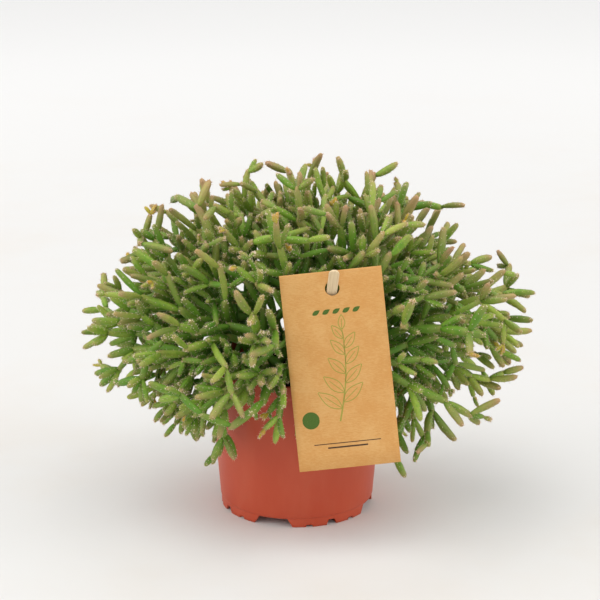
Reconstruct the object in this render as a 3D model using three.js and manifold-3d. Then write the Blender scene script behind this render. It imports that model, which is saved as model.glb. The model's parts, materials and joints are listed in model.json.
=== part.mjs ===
// A potted rhipsalis: thin plastic nursery pot, peat, rooted jointed cuttings, and a card on a stick.
// Millimetres, +Z up. The origin is the middle of the pot's foot, on the surface that it stands on.
import * as THREE from 'three';
import { mergeVertices } from 'three/addons/utils/BufferGeometryUtils.js';
import Module from 'manifold-3d';

const wasm = await Module();
wasm.setup();

// Pot
const POT_HEIGHT = 97;
const FOOT_RADIUS = 49;
const WALL_SLOPE = 0.082;
const WALL = 1.2;
const FOOT_HEIGHT = 6;
const FOOT_STEP = 0.5;
const LIP_RADIUS = 60;
const LIP_HEIGHT = 9;
const CENTRE_DISC_RADIUS = 20;
const POT_SIDES = 40;
const DRAIN = { count: 6, ring: 34, radius: 3 };
const FIRST_NOTCH = THREE.MathUtils.degToRad(-108);
const NOTCHES = [
  { at: [0], top: 19, bottom: 27, height: 5.4 },
  { at: [-27.5, 27.5], top: 4, bottom: 4.6, height: 1.3 },
  { at: [45], top: 4.4, bottom: 8, height: 3.4 },
];

// Peat
const SOIL_TOP = 87;
const GAP = 0.3;
const SOIL_SIDES = 32;
const SOIL_RINGS = [18, 34, 49];

// Rooted cuttings: one in the middle, then rings of them
const ROOT_DEPTH = 24;
const ROOT_RINGS = [
  { count: 1, radius: 0, turn: 0 },
  { count: 4, radius: 20, turn: 20 },
  { count: 8, radius: 41, turn: 1 },
];

// The first growth, from the rooted joint outwards: length range, radius, and how many stand on each tip
const ORDERS = [
  { length: [30, 36], radius: 2.8, children: 3 },
  { length: [28, 38], radius: 2.8, children: 3 },
  { length: [26, 36], radius: 2.7, children: 2 },
  { length: [21, 30], radius: 2.6, children: 2 },
  { length: [18, 26], radius: 2.5, children: 2 },
  { length: [15, 23], radius: 2.4, children: 2 },
  { length: [13, 20], radius: 2.3, children: 2 },
];
const SEED = 61;
const TRIES = 60;
const CLEARANCE = 0.9;
const STICK_MARGIN = { joint: 1.5, twig: 1 };
const POT_MARGIN = { above: 1, beside: 1.2, inside: 1, over: 1.5 };
const CARD_MARGIN = 2;
// Where along a joint it is tried against the pot and the card
const STATIONS = [0.2, 0.4, 0.6, 0.8, 1];
// Cosines of the widest and least turn from a parent, and of the least angles between siblings: between
// their directions, and between the sides that they lean to
const WIDEST_TURN = 0.34;
const LEAST_TURN = 0.97;
const SIBLINGS = { turn: 0.74, aside: 0.3 };
// Past this share of the reach a joint points outwards at least this much
const OUTER = { share: 0.68, outward: 0.4 };
// Goals that draw the growth: shells at shares of the mound's reach
const SHELLS = [{ depth: 0.95, count: 116 }, { depth: 0.72, count: 14 }];
const FAIR_LOAD = 1.4;
const GOLDEN_ANGLE = Math.PI * (3 - Math.sqrt(5));
const GOAL_MARGIN = 3;
const GOAL_REACHED = 14;
const FURTHEST_GOAL = 200;
const GOAL_TAKEN = 0.74;
const DETOUR = 1.5;
const WANDER = 0.25;

// The second growth: rounds of short twigs that turn outwards into the room that is left
const TWIG_ROUNDS = 6;
const TWIG_TRIES = 48;
const TWIG_LENGTH = [11.5, 22.5];
const DEEP_TWIG = { length: [17, 28], share: 0.6 };
const TWIG_RADIUS = [1.9, 2.5];
const TWIG_CLEARANCE = 0.7;
const TWIG_TURN = { widest: 0.3, least: 0.95 };
const TWIG_CHANCE = [0.45, 1.25];
const TWIG_LEAD = { heading: 0.75, outward: 0.45 };
const TIPS_APART = { least: 6.5, enough: 13 };
const TWIG_WORTH = { outward: 0.4, luck: 0.35 };
const NEARBY = 60;
// Twigs droop where they hang over the pot's lip and beside it
const DROOP = { most: 0.75, below: 130, over: 40, from: 50, until: 155, fade: 50 };
// Shares of the dense part's reach that a tip's twigs may use, and the odds of one, two or three on a tip
const SPREAD = [0.83, 1.19];
const FAMILY_ODDS = [0.2, 0.55];
// The dense part: its share of the reach, how much less that is at the sides, and its slanting underside
const DENSE = { share: 0.845, sides: 0.01, furthest: 0.985 };
const UNDERSIDE = { low: 12, from: 78, slope: 0.85, tilt: 0.3 };
// A gap beside the card that shows the older joints
const HOLLOW = { first: [-20, -45, 126], last: [-44, -112, 172], radius: 19 };

// A joint's axis starts back inside its parent's tip and a little to the side that it leans to.
const SEAT = { back: 0.3, aside: 0.42 };
// Shares of the radius: at the fullest place of a joint that bears others, round a tip, and how far the
// tip's ring lies back from the joint's end and its point beyond it
const JOINT_SIDES = 3;
const FULLEST = { at: 0.38, share: 1.08 };
const BEARING_TIP = { share: 0.95, back: 0.1, point: 0.5 };
const BARE_TIP = { share: 1, back: 0.9, point: 0.65 };
const TURNS_TRIED = 13;

// The mound's reach from its heart, by how steeply it is seen from there (sine of the elevation)
const HEART = [0, 0, 105];
const REACH = [
  [-1, 112], [-0.8, 120], [-0.5, 122], [-0.25, 136], [0.05, 159], [0.35, 155], [0.7, 138], [1, 129],
];
const LOPSIDED = 0.045;
const FLATTENED = 0.18;
const HANG = { side: 10, front: 64, back: 40 };

// Card and stick
const CARD = { width: 61, height: 118.6, thickness: 0.8, centre: [26.1, -75.9, 113.4] };
const CARD_LEAN = THREE.MathUtils.degToRad(10.08);
const CARD_ROLL = THREE.MathUtils.degToRad(5.99);
const CARD_HOLE = { x: 0.2, z: 48.8, radius: 4.3, sides: 24 };
const STICK = { width: 6.4, thickness: 1.6, above: 13.5, below: 112 };
const STICK_LEAN = THREE.MathUtils.degToRad(22);
const STICK_ROLL = THREE.MathUtils.degToRad(5.6);
const SIGHT_SLOPE = 0.46;

const finish = (color, roughness) => new THREE.MeshStandardMaterial({ color, roughness, metalness: 0 });
const TERRACOTTA = finish(0xb9583c, 0.45);
const PEAT = finish(0x3a2a20, 1);
const GREEN = finish(0x5d7a34, 0.6);
const BIRCH = finish(0xe6cfa0, 0.7);
const KRAFT = finish(0xd89f5e, 0.85);

function solidOf(geometry) {
  const bare = geometry.index ? geometry.toNonIndexed() : geometry.clone();
  bare.deleteAttribute('normal');
  bare.deleteAttribute('uv');
  const merged = mergeVertices(bare, 1e-4);
  return new wasm.Manifold(new wasm.Mesh({
    numProp: 3,
    vertProperties: new Float32Array(merged.attributes.position.array),
    triVerts: new Uint32Array(merged.index.array),
  }));
}

function geometryOf(solid) {
  const mesh = solid.getMesh();
  const geometry = new THREE.BufferGeometry();
  geometry.setAttribute('position', new THREE.BufferAttribute(mesh.vertProperties, 3));
  geometry.setIndex(new THREE.BufferAttribute(mesh.triVerts, 1));
  return geometry;
}

function named(name, geometry, material) {
  const mesh = new THREE.Mesh(geometry, material);
  mesh.name = name;
  return mesh;
}

// Lathe profiles are [radius, height] pairs, up the outside and down the inside.
function turned(profile, sides) {
  const lathe = new THREE.LatheGeometry(profile.map(([r, z]) => new THREE.Vector2(r, z)), sides);
  return lathe.rotateX(Math.PI / 2);
}

const wallRadius = (z) => FOOT_RADIUS + WALL_SLOPE * z;

function makePot() {
  const shoulder = POT_HEIGHT - LIP_HEIGHT;
  const floor = FOOT_HEIGHT + WALL;
  const profile = [
    [0, 0], [CENTRE_DISC_RADIUS, 0], [CENTRE_DISC_RADIUS + 2, FOOT_HEIGHT],
    [FOOT_RADIUS - WALL - 1, FOOT_HEIGHT], [FOOT_RADIUS - WALL - 0.6, 0], [FOOT_RADIUS, 0],
    [wallRadius(FOOT_HEIGHT) - FOOT_STEP, FOOT_HEIGHT], [wallRadius(FOOT_HEIGHT) + 0.1, FOOT_HEIGHT + 0.8],
    [wallRadius(shoulder - 1), shoulder - 1], [LIP_RADIUS - 0.8, shoulder],
    [LIP_RADIUS, POT_HEIGHT - 0.6], [LIP_RADIUS - 0.6, POT_HEIGHT], [LIP_RADIUS - WALL, POT_HEIGHT],
    [LIP_RADIUS - WALL - 0.8, shoulder + WALL], [wallRadius(shoulder) - WALL, shoulder],
    [wallRadius(floor) - WALL, floor], [CENTRE_DISC_RADIUS + 2 - WALL, floor],
    [CENTRE_DISC_RADIUS - WALL, WALL], [0, WALL],
  ];
  let pot = solidOf(turned(profile, POT_SIDES));
  for (const { at, top, bottom, height } of NOTCHES) {
    for (const offset of at) {
      for (let quarter = 0; quarter < 4; quarter += 1) {
        const angle = FIRST_NOTCH + THREE.MathUtils.degToRad(offset) + quarter * (Math.PI / 2);
        pot = pot.subtract(solidOf(notchCutter(top, bottom, height, angle)));
      }
    }
  }
  for (let i = 0; i < DRAIN.count; i += 1) {
    const hole = new THREE.CylinderGeometry(DRAIN.radius, DRAIN.radius, 6 * WALL, 8);
    hole.rotateX(Math.PI / 2).translate(DRAIN.ring, 0, FOOT_HEIGHT);
    pot = pot.subtract(solidOf(hole.rotateZ((i + 0.5) * 2 * Math.PI / DRAIN.count)));
  }
  return named('pot', geometryOf(pot), TERRACOTTA);
}

// A notch is a slope-sided gap in the foot's skirt, wider at the ground.
function notchCutter(top, bottom, height, angle) {
  const below = 1;
  const outline = new THREE.Shape([
    new THREE.Vector2(-bottom / 2, -below), new THREE.Vector2(bottom / 2, -below),
    new THREE.Vector2(top / 2, height), new THREE.Vector2(-top / 2, height),
  ]);
  const depth = 8;
  const cutter = new THREE.ExtrudeGeometry(outline, { depth, bevelEnabled: false });
  // Stands the outline up, facing out along +X, then turns it round the pot.
  cutter.rotateX(Math.PI / 2).rotateZ(Math.PI / 2);
  return cutter.translate(FOOT_RADIUS - depth / 2, 0, 0).rotateZ(angle);
}

// The peat's surface rises and falls by about a millimetre.
function soilRelief(x, y) {
  return 0.8 * Math.sin(0.21 * x + 0.6) * Math.cos(0.17 * y) + 0.5 * Math.sin(0.11 * (x - 2 * y));
}

function makeSoil(roots, stickAxis) {
  const low = FOOT_HEIGHT + WALL + GAP;
  const edge = wallRadius(SOIL_TOP - 2) - WALL - 2 * GAP;
  const well = CENTRE_DISC_RADIUS - WALL - GAP;
  const profile = [
    [0, WALL + GAP], [well, WALL + GAP], [well + 2, low],
    [wallRadius(low) - WALL - 2 * GAP, low], [edge, SOIL_TOP - 2],
    ...SOIL_RINGS.toReversed().map((r) => [r, SOIL_TOP]), [0, SOIL_TOP],
  ];
  const block = turned(profile, SOIL_SIDES);
  const points = block.attributes.position;
  for (let i = 0; i < points.count; i += 1) {
    if (points.getZ(i) > SOIL_TOP - 1) {
      points.setZ(i, points.getZ(i) + soilRelief(points.getX(i), points.getY(i)));
    }
  }
  let soil = solidOf(block);
  const depth = ROOT_DEPTH + GAP + 6;
  const holeRadius = ORDERS[0].radius + 2 * GAP;
  for (const [x, y] of roots) {
    const hole = new THREE.CylinderGeometry(holeRadius, holeRadius, depth, 8);
    hole.rotateX(Math.PI / 2).translate(x, y, SOIL_TOP - ROOT_DEPTH - GAP + depth / 2);
    soil = soil.subtract(solidOf(hole));
  }
  const slot = new THREE.BoxGeometry(STICK.width + 3 * GAP, STICK.thickness + 3 * GAP, STICK.below);
  slot.translate(0, 0, STICK.below / 2 - GAP).applyMatrix4(stickAxis);
  return named('soil', geometryOf(soil.subtract(solidOf(slot))), PEAT);
}

// Vectors are [x, y, z] arrays.
const dot = (a, b) => a[0] * b[0] + a[1] * b[1] + a[2] * b[2];
const minus = (a, b) => [a[0] - b[0], a[1] - b[1], a[2] - b[2]];
const along = (a, d, t) => [a[0] + d[0] * t, a[1] + d[1] * t, a[2] + d[2] * t];
const size = (a) => Math.sqrt(dot(a, a));
const unit = (a) => { const n = size(a); return [a[0] / n, a[1] / n, a[2] / n]; };
const clamp = (t) => Math.min(Math.max(t, 0), 1);
const between = ([low, high], share) => low + (high - low) * share;

function makeRandom(seed) {
  let state = seed;
  return () => {
    state = (state * 16807) % 2147483647;
    return state / 2147483647;
  };
}

// The least distance between the straight axes a-b and c-d.
function axisDistance(a, b, c, d) {
  const u = minus(b, a);
  const v = minus(d, c);
  const w = minus(a, c);
  const uu = dot(u, u);
  const vv = dot(v, v);
  const uv = dot(u, v);
  const uw = dot(u, w);
  const vw = dot(v, w);
  const spread = uu * vv - uv * uv;
  let s = spread > 1e-9 ? clamp((uv * vw - uw * vv) / spread) : 0;
  const t = (uv * s + vw) / vv;
  if (t < 0) s = clamp(-uw / uu);
  if (t > 1) s = clamp((uv - uw) / uu);
  return size(minus(along(a, u, s), along(c, v, clamp(t))));
}

function reachTowards(offset) {
  const far = size(offset);
  const steep = offset[2] / far;
  const next = REACH.findIndex(([sine], i) => i > 0 && steep <= sine);
  const [lowSine, lowReach] = REACH[next - 1];
  const [highSine, highReach] = REACH[next];
  const reach = lowReach + (highReach - lowReach) * (steep - lowSine) / (highSine - lowSine);
  const across = offset[0] / far;
  const deep = offset[1] / far;
  return reach * (1 + LOPSIDED * across) * (1 - FLATTENED * deep * deep);
}

// The lowest a tip may hang: down beside the pot at its sides, and higher before and behind it.
function lowest(point) {
  const out = Math.sqrt(point[0] * point[0] + point[1] * point[1]);
  const deep = point[1] / Math.max(out, 1);
  const rise = (deep < 0 ? HANG.front : HANG.back) - HANG.side;
  return HANG.side + rise * deep * deep;
}

function denseReach(offset) {
  const across = offset[0] / size(offset);
  return reachTowards(offset) * (DENSE.share - DENSE.sides * across * across);
}

// The dense part's lowest place: it rises outwards at the sides, more steeply on the left.
function underside(point) {
  const out = Math.max(Math.sqrt(point[0] * point[0] + point[1] * point[1]), 1);
  const across = point[0] / out;
  const slope = UNDERSIDE.slope - UNDERSIDE.tilt * across;
  const rise = UNDERSIDE.low + Math.max(out - UNDERSIDE.from, 0) * slope * across * across;
  return Math.max(lowest(point), rise);
}

function inHollow(point) {
  const way = minus(HOLLOW.last, HOLLOW.first);
  const share = clamp(dot(minus(point, HOLLOW.first), way) / dot(way, way));
  return size(minus(point, along(HOLLOW.first, way, share))) < HOLLOW.radius;
}

function clearOfPot(point, radius) {
  if (point[2] > POT_HEIGHT + radius + POT_MARGIN.above) return true;
  const out = Math.sqrt(point[0] * point[0] + point[1] * point[1]);
  if (out > LIP_RADIUS + radius + POT_MARGIN.beside) return true;
  return out < wallRadius(SOIL_TOP) - WALL - radius - POT_MARGIN.inside
    && point[2] > SOIL_TOP + radius + POT_MARGIN.over;
}

// The card's own axes: across, out of its face, and up.
const cardTurn = new THREE.Euler(-CARD_LEAN, -CARD_ROLL, 0);
const cardAxes = [[1, 0, 0], [0, -1, 0], [0, 0, 1]]
  .map((axis) => new THREE.Vector3(...axis).applyEuler(cardTurn).toArray());

// Nothing grows through the card, nor between it and whoever looks at it from the front.
function clearOfCard(point, radius) {
  const offset = minus(point, CARD.centre);
  const [across, out, up] = cardAxes.map((axis) => dot(offset, axis));
  const margin = radius + CARD_MARGIN;
  if (Math.abs(across) > CARD.width / 2 + margin) return true;
  if (up < -CARD.height / 2 - margin) return true;
  if (up > CARD.height / 2 + margin + SIGHT_SLOPE * Math.max(out, 0)) return true;
  return out < -margin;
}

function stickLine() {
  const turn = new THREE.Euler(STICK_LEAN, STICK_ROLL, 0);
  const direction = new THREE.Vector3(0, 0, 1).applyEuler(turn).toArray();
  const hole = along(along(CARD.centre, cardAxes[0], CARD_HOLE.x), cardAxes[2], CARD_HOLE.z);
  const foot = along(hole, direction, -STICK.below);
  const matrix = new THREE.Matrix4().makeRotationFromEuler(turn).setPosition(...foot);
  return { matrix, foot, tip: along(hole, direction, STICK.above) };
}

function rootPlaces() {
  return ROOT_RINGS.flatMap(({ count, radius, turn }) => Array.from({ length: count }, (_, i) => {
    const angle = THREE.MathUtils.degToRad(turn) + i * 2 * Math.PI / count;
    return [radius * Math.cos(angle), radius * Math.sin(angle)];
  }));
}

// Points spread evenly over shells of the mound, which the tips grow towards.
function makeGoals() {
  return SHELLS.flatMap(({ depth, count }) => Array.from({ length: count }, (_, i) => {
    const steep = 1 - 2 * (i + 0.5) / count;
    const flat = Math.sqrt(1 - steep * steep);
    const turn = GOLDEN_ANGLE * i;
    const direction = [flat * Math.cos(turn), flat * Math.sin(turn), steep];
    return along(HEART, direction, depth * reachTowards(direction));
  })).filter((goal) => goal[2] > lowest(goal) + GOAL_MARGIN
    && clearOfPot(goal, GOAL_MARGIN) && clearOfCard(goal, GOAL_MARGIN));
}

// How far a goal is from a tip, counted longer the more the tip would have to turn.
function detour(tip, goal) {
  const way = minus(goal, tip.end);
  const far = size(way);
  return far * (DETOUR - dot(way, headingOf(tip)) / far);
}

// The rooted joints take turns, and each takes the goal that is best placed for it.
function dealOut(goals, tips) {
  const shares = new Map(tips.map((tip) => [tip, []]));
  const left = [...goals];
  while (left.length > 0) {
    const tip = tips[(goals.length - left.length) % tips.length];
    const costs = left.map((goal) => detour(tip, goal));
    const [goal] = left.splice(costs.indexOf(Math.min(...costs)), 1);
    shares.get(tip).push(goal);
  }
  return shares;
}

// Each goal that no tip has reached goes to the tip of this order that is nearest and best aimed at it,
// and no tip takes more than a fair load.
function shareOut(goals, tips, joints) {
  const shares = new Map(tips.map((tip) => [tip, []]));
  const left = goals.filter((goal) => joints.every((joint) => size(minus(goal, joint.end)) > GOAL_REACHED));
  const load = Math.ceil(FAIR_LOAD * left.length / tips.length);
  for (const goal of left) {
    let chosen = null;
    let least = FURTHEST_GOAL;
    for (const tip of tips.filter((one) => shares.get(one).length < load)) {
      const cost = detour(tip, goal);
      if (cost < least) [chosen, least] = [tip, cost];
    }
    if (chosen) shares.get(chosen).push(goal);
  }
  return shares;
}

const headingOf = (joint) => unit(minus(joint.end, joint.start));

// Whether a joint stays clear of the pot, the card, the stick and every joint that isn't its kin.
function isClear({ start, end, radius, parent }, joints, stick, stickMargin, clearance) {
  for (const t of STATIONS) {
    const point = along(start, minus(end, start), t);
    if (!clearOfPot(point, radius) || !clearOfCard(point, radius)) return false;
  }
  if (axisDistance(start, end, stick.foot, stick.tip) < radius + STICK.width / 2 + stickMargin) return false;
  return joints.every((other) => other === parent || other.parent === parent
    || axisDistance(start, end, other.start, other.end) > radius + other.radius + clearance);
}

// A joint that leaves its parent's tip in a direction. Its foot sits back in the tip, and aside.
function jointFrom(parent, direction, reach, radius) {
  const heading = headingOf(parent);
  const aside = unit(along(direction, heading, -dot(direction, heading)));
  const seat = along(parent.end, heading, -SEAT.back * parent.radius);
  const start = along(seat, aside, SEAT.aside * parent.radius);
  const end = along(parent.end, direction, reach);
  return { stem: parent.stem, order: parent.order + 1, start, end, radius, parent, direction, aside };
}

const crowds = (joint, siblings) => siblings.some((other) =>
  dot(joint.direction, other.direction) > SIBLINGS.turn || dot(joint.aside, other.aside) > SIBLINGS.aside);

const childrenOf = (parent, joints) => joints.filter((joint) => joint.parent === parent);

// Grows every cutting's main joints, one order at a time over all of them. Each new joint is the best of
// some seeded tries: it goes towards its parent's goals, turns no more than a set angle from its parent,
// and points outwards near the mound's surface.
function growFrame(roots, stick, random) {
  const goals = makeGoals();
  const joints = roots.map(([x, y], stem) => {
    const start = [x, y, SOIL_TOP - ROOT_DEPTH];
    const end = [x, y, start[2] + between(ORDERS[0].length, random())];
    return { stem, order: 0, start, end, radius: ORDERS[0].radius, parent: null };
  });
  const tryJoint = (parent, { length, radius }, siblings, wanted) => {
    const heading = headingOf(parent);
    let best = null;
    for (let i = 0; i < TRIES; i += 1) {
      const aim = [2 * random() - 1, 2 * random() - 1, 2 * random() - 1];
      const reach = between(length, random());
      if (dot(aim, aim) > 1 || dot(aim, aim) < 0.01) continue;
      const direction = unit(along(heading, unit(aim), 1));
      const turn = dot(direction, heading);
      if (turn < WIDEST_TURN || turn > LEAST_TURN) continue;
      const joint = jointFrom(parent, direction, reach, radius);
      if (crowds(joint, siblings)) continue;
      const offset = minus(joint.end, HEART);
      const far = size(offset);
      const room = reachTowards(offset);
      if (far + radius > room || joint.end[2] - radius < lowest(joint.end)) continue;
      const outwards = dot(direction, unit(offset));
      if (far > OUTER.share * room && outwards < OUTER.outward) continue;
      if (!isClear(joint, joints, stick, STICK_MARGIN.joint, CLEARANCE)) continue;
      joint.score = WANDER * random();
      for (const goal of wanted) {
        const before = size(minus(goal, parent.end));
        joint.score += (before - size(minus(goal, joint.end))) / (before * wanted.length);
      }
      if (!best || joint.score > best.score) best = joint;
    }
    return best;
  };
  for (let order = 1; order < ORDERS.length; order += 1) {
    const tips = joints.filter((joint) => joint.order === order - 1);
    const shares = order === 1 ? dealOut(goals, tips) : shareOut(goals, tips, joints);
    for (let child = 0; child < ORDERS[order - 1].children; child += 1) {
      for (const parent of tips) {
        const siblings = childrenOf(parent, joints);
        const wanted = shares.get(parent).filter((goal) => siblings.every((other) =>
          dot(unit(minus(goal, parent.end)), headingOf(other)) < GOAL_TAKEN));
        const joint = wanted.length > 0 && tryJoint(parent, ORDERS[order], siblings, wanted);
        if (joint) joints.push(joint);
      }
    }
  }
  return joints;
}

// One twig on a tip, the best of some tries. Its direction adds the tip's heading, the way out from the
// mound's heart, a droop beside the pot, and chance. The best ends furthest from other tips and points
// most outwards.
function tryTwig(parent, joints, stick, random) {
  const heading = headingOf(parent);
  const way = minus(parent.end, HEART);
  const length = size(way) < DEEP_TWIG.share * reachTowards(way) ? DEEP_TWIG.length : TWIG_LENGTH;
  const out = Math.sqrt(parent.end[0] * parent.end[0] + parent.end[1] * parent.end[1]);
  const droop = out < DROOP.from ? 0 : DROOP.most * clamp((DROOP.until - out) / DROOP.fade)
    * clamp((DROOP.below - parent.end[2]) / DROOP.over);
  const lead = along(along([0, 0, -droop], heading, TWIG_LEAD.heading), unit(way), TWIG_LEAD.outward);
  const radius = between(TWIG_RADIUS, random());
  const siblings = childrenOf(parent, joints);
  const near = joints.filter((joint) => size(minus(joint.end, parent.end)) < NEARBY);
  let best = null;
  for (let i = 0; i < TWIG_TRIES; i += 1) {
    const aim = [2 * random() - 1, 2 * random() - 1, 2 * random() - 1];
    const chance = between(TWIG_CHANCE, random());
    const reach = between(length, random());
    const luck = random();
    const direction = unit(along(lead, unit(aim), chance));
    const turn = dot(direction, heading);
    if (turn < TWIG_TURN.widest || turn > TWIG_TURN.least) continue;
    const twig = jointFrom(parent, direction, reach, radius);
    if (crowds(twig, siblings)) continue;
    const offset = minus(twig.end, HEART);
    const limit = Math.min(parent.spread * denseReach(offset), DENSE.furthest * reachTowards(offset));
    if (size(offset) + radius > limit || twig.end[2] - radius < underside(twig.end)) continue;
    if (inHollow(twig.end)) continue;
    const apart = Math.min(...near.map((other) => size(minus(other.end, twig.end))), TIPS_APART.enough);
    if (apart < TIPS_APART.least) continue;
    twig.score = apart / TIPS_APART.enough + TWIG_WORTH.outward * dot(direction, unit(offset))
      + TWIG_WORTH.luck * luck;
    if (best && twig.score <= best.score) continue;
    if (isClear(twig, near, stick, STICK_MARGIN.twig, TWIG_CLEARANCE)) best = twig;
  }
  return best;
}

// Each joint draws how far out its twigs may end and how many joints it may bear.
function endow(joint, random) {
  joint.spread = between(SPREAD, random() ** 2);
  const lot = random();
  joint.family = 1 + FAMILY_ODDS.filter((odds) => lot > odds).length;
}

function growTwigs(joints, stick, random) {
  joints.forEach((joint) => endow(joint, random));
  for (let round = 0; round < TWIG_ROUNDS; round += 1) {
    const tips = joints.filter((joint) => childrenOf(joint, joints).length < joint.family);
    for (const tip of tips) {
      const twig = tryTwig(tip, joints, stick, random);
      if (!twig) continue;
      endow(twig, random);
      joints.push(twig);
    }
  }
  return joints;
}

// A skin gathers one stem's points and triangles.
function makeSkin() {
  const positions = [];
  const index = [];
  return {
    positions,
    index,
    point: (place) => positions.push(...place) / 3 - 1,
    place: (i) => positions.slice(3 * i, 3 * i + 3),
    walls: (low, high) => low.forEach((corner, i) => {
      const next = (i + 1) % low.length;
      index.push(corner, low[next], high[next], corner, high[next], high[i]);
    }),
  };
}

const STEP = 2 * Math.PI / JOINT_SIDES;
const wrap = (angle) => Math.atan2(Math.sin(angle), Math.cos(angle));

// Directions round a joint's axis, as angles from the first corner of its foot.
function roundAxis(joint, corners) {
  const heading = headingOf(joint);
  const middle = corners.reduce((sum, corner) => along(sum, corner, 1 / corners.length), [0, 0, 0]);
  const offset = minus(corners[0], middle);
  const first = unit(along(offset, heading, -dot(offset, heading)));
  const second = new THREE.Vector3(...heading).cross(new THREE.Vector3(...first)).toArray();
  const angleOf = (way) => Math.atan2(dot(way, second), dot(way, first));
  const place = (angle, out, at) => along(along(along(joint.start, heading, at),
    first, out * Math.cos(angle)), second, out * Math.sin(angle));
  return { angleOf, place, angles: corners.map((corner) => angleOf(minus(corner, middle))) };
}

// Deals the children out to the faces of the tip's pyramid, and turns the pyramid so that each face looks
// the way that its child leans. The turn stays near that of the joint's foot.
function seatChildren(children, angleOf, footTurn) {
  const leans = children.map((child) => ({
    angle: angleOf(headingOf(child)),
    weight: 1 - dot(headingOf(child), headingOf(child.parent)) ** 2,
  }));
  const deals = [[0, 1, 2], [0, 2, 1], [1, 0, 2], [1, 2, 0], [2, 0, 1], [2, 1, 0]];
  let best = null;
  for (let i = 0; i < TURNS_TRIED; i += 1) {
    const turn = footTurn + STEP * (i / (TURNS_TRIED - 1) - 0.5);
    for (const faces of deals) {
      const score = leans.reduce((sum, { angle, weight }, child) =>
        sum + weight * Math.cos(angle - turn - (faces[child] + 0.5) * STEP), 0);
      if (!best || score > best.score) best = { score, turn, faces };
    }
  }
  return best;
}

// One joint is slim and three-angled and ends in a low pyramid. A joint that stands on it grows out of one
// face of the pyramid and shares that face's corners. A joint that bears none has straight sides.
function addJoint(joint, foot, joints, skin) {
  const length = size(minus(joint.end, joint.start));
  const { angleOf, place, angles } = roundAxis(joint, foot.map((corner) => skin.place(corner)));
  const footTurn = angles.reduce((sum, angle, i) => sum + wrap(angle - i * STEP), 0) / JOINT_SIDES;
  const children = childrenOf(joint, joints);
  const { turn, faces } = seatChildren(children, angleOf, footTurn);
  const ring = (first, out, at) => foot.map((_, i) => skin.point(place(first + i * STEP, out, at)));
  const bears = children.length > 0;
  const tip = bears ? BEARING_TIP : BARE_TIP;
  const waist = (footTurn + turn) / 2;
  const fullest = bears ? ring(waist, FULLEST.share * joint.radius, FULLEST.at * length) : foot;
  const rim = ring(turn, tip.share * joint.radius, length - tip.back * joint.radius);
  const point = skin.point(place(0, 0, length + tip.point * joint.radius));
  if (bears) skin.walls(foot, fullest);
  skin.walls(fullest, rim);
  rim.forEach((corner, i) => {
    const face = [corner, rim[(i + 1) % JOINT_SIDES], point];
    const child = children[faces.indexOf(i)];
    if (child) addJoint(child, face, joints, skin);
    else skin.index.push(...face);
  });
}

function makeStems(joints) {
  return joints.filter((joint) => !joint.parent).map((root) => {
    const skin = makeSkin();
    const [x, y, z] = root.start;
    const foot = Array.from({ length: JOINT_SIDES }, (_, i) => skin.point([
      x + root.radius * Math.cos(i * STEP), y + root.radius * Math.sin(i * STEP), z,
    ]));
    skin.index.push(...foot.toReversed());
    addJoint(root, foot, joints, skin);
    const geometry = new THREE.BufferGeometry();
    geometry.setAttribute('position', new THREE.Float32BufferAttribute(skin.positions, 3));
    geometry.setIndex(skin.index);
    return named(`stem_${String(root.stem + 1).padStart(2, '0')}`, geometry, GREEN);
  });
}

function makeCard() {
  const corners = [[-1, -1], [1, -1], [1, 1], [-1, 1]];
  const outline = new THREE.Shape(corners.map(([across, up]) =>
    new THREE.Vector2(across * CARD.width / 2, up * CARD.height / 2)));
  const hole = new THREE.Path().absarc(CARD_HOLE.x, CARD_HOLE.z, CARD_HOLE.radius, 0, 2 * Math.PI, true);
  outline.holes.push(hole);
  const plate = new THREE.ExtrudeGeometry(outline, {
    depth: CARD.thickness, bevelEnabled: false, curveSegments: CARD_HOLE.sides,
  });
  plate.translate(0, 0, -CARD.thickness / 2).rotateX(Math.PI / 2);
  const card = named('tag_card', plate, KRAFT);
  card.rotation.copy(cardTurn);
  card.position.set(...CARD.centre);
  return card;
}

// A flat stick with one round end, square below.
function makeStick(matrix) {
  const half = STICK.width / 2;
  const top = STICK.below + STICK.above;
  const outline = new THREE.Shape();
  outline.moveTo(-half, 0).lineTo(half, 0).lineTo(half, top - half);
  outline.absarc(0, top - half, half, 0, Math.PI, false);
  const bar = new THREE.ExtrudeGeometry(outline, {
    depth: STICK.thickness, bevelEnabled: false, curveSegments: 12,
  });
  bar.translate(0, 0, -STICK.thickness / 2).rotateX(Math.PI / 2);
  const stick = named('tag_stick', bar, BIRCH);
  stick.applyMatrix4(matrix);
  return stick;
}

const stick = stickLine();
const roots = rootPlaces();
const random = makeRandom(SEED);
const joints = growTwigs(growFrame(roots, stick, random), stick, random);
const plant = new THREE.Group();
plant.add(makePot(), makeSoil(roots, stick.matrix), ...makeStems(joints));
plant.add(makeStick(stick.matrix), makeCard());

export default plant;
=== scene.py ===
"""The looks of a potted rhipsalis: nursery pot, peat, jointed cuttings, and a kraft card on a stick.

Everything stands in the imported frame, in metres, +Z up, with the pot's foot on the origin. The branching
is worked out in millimetres by the rule that the frame's solids follow, and then thickened by the same
rule with the shorter twigs that stand between them.
"""

import json
import logging
import math
from dataclasses import dataclass, field
from enum import Enum
from typing import Any, Sequence

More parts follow.
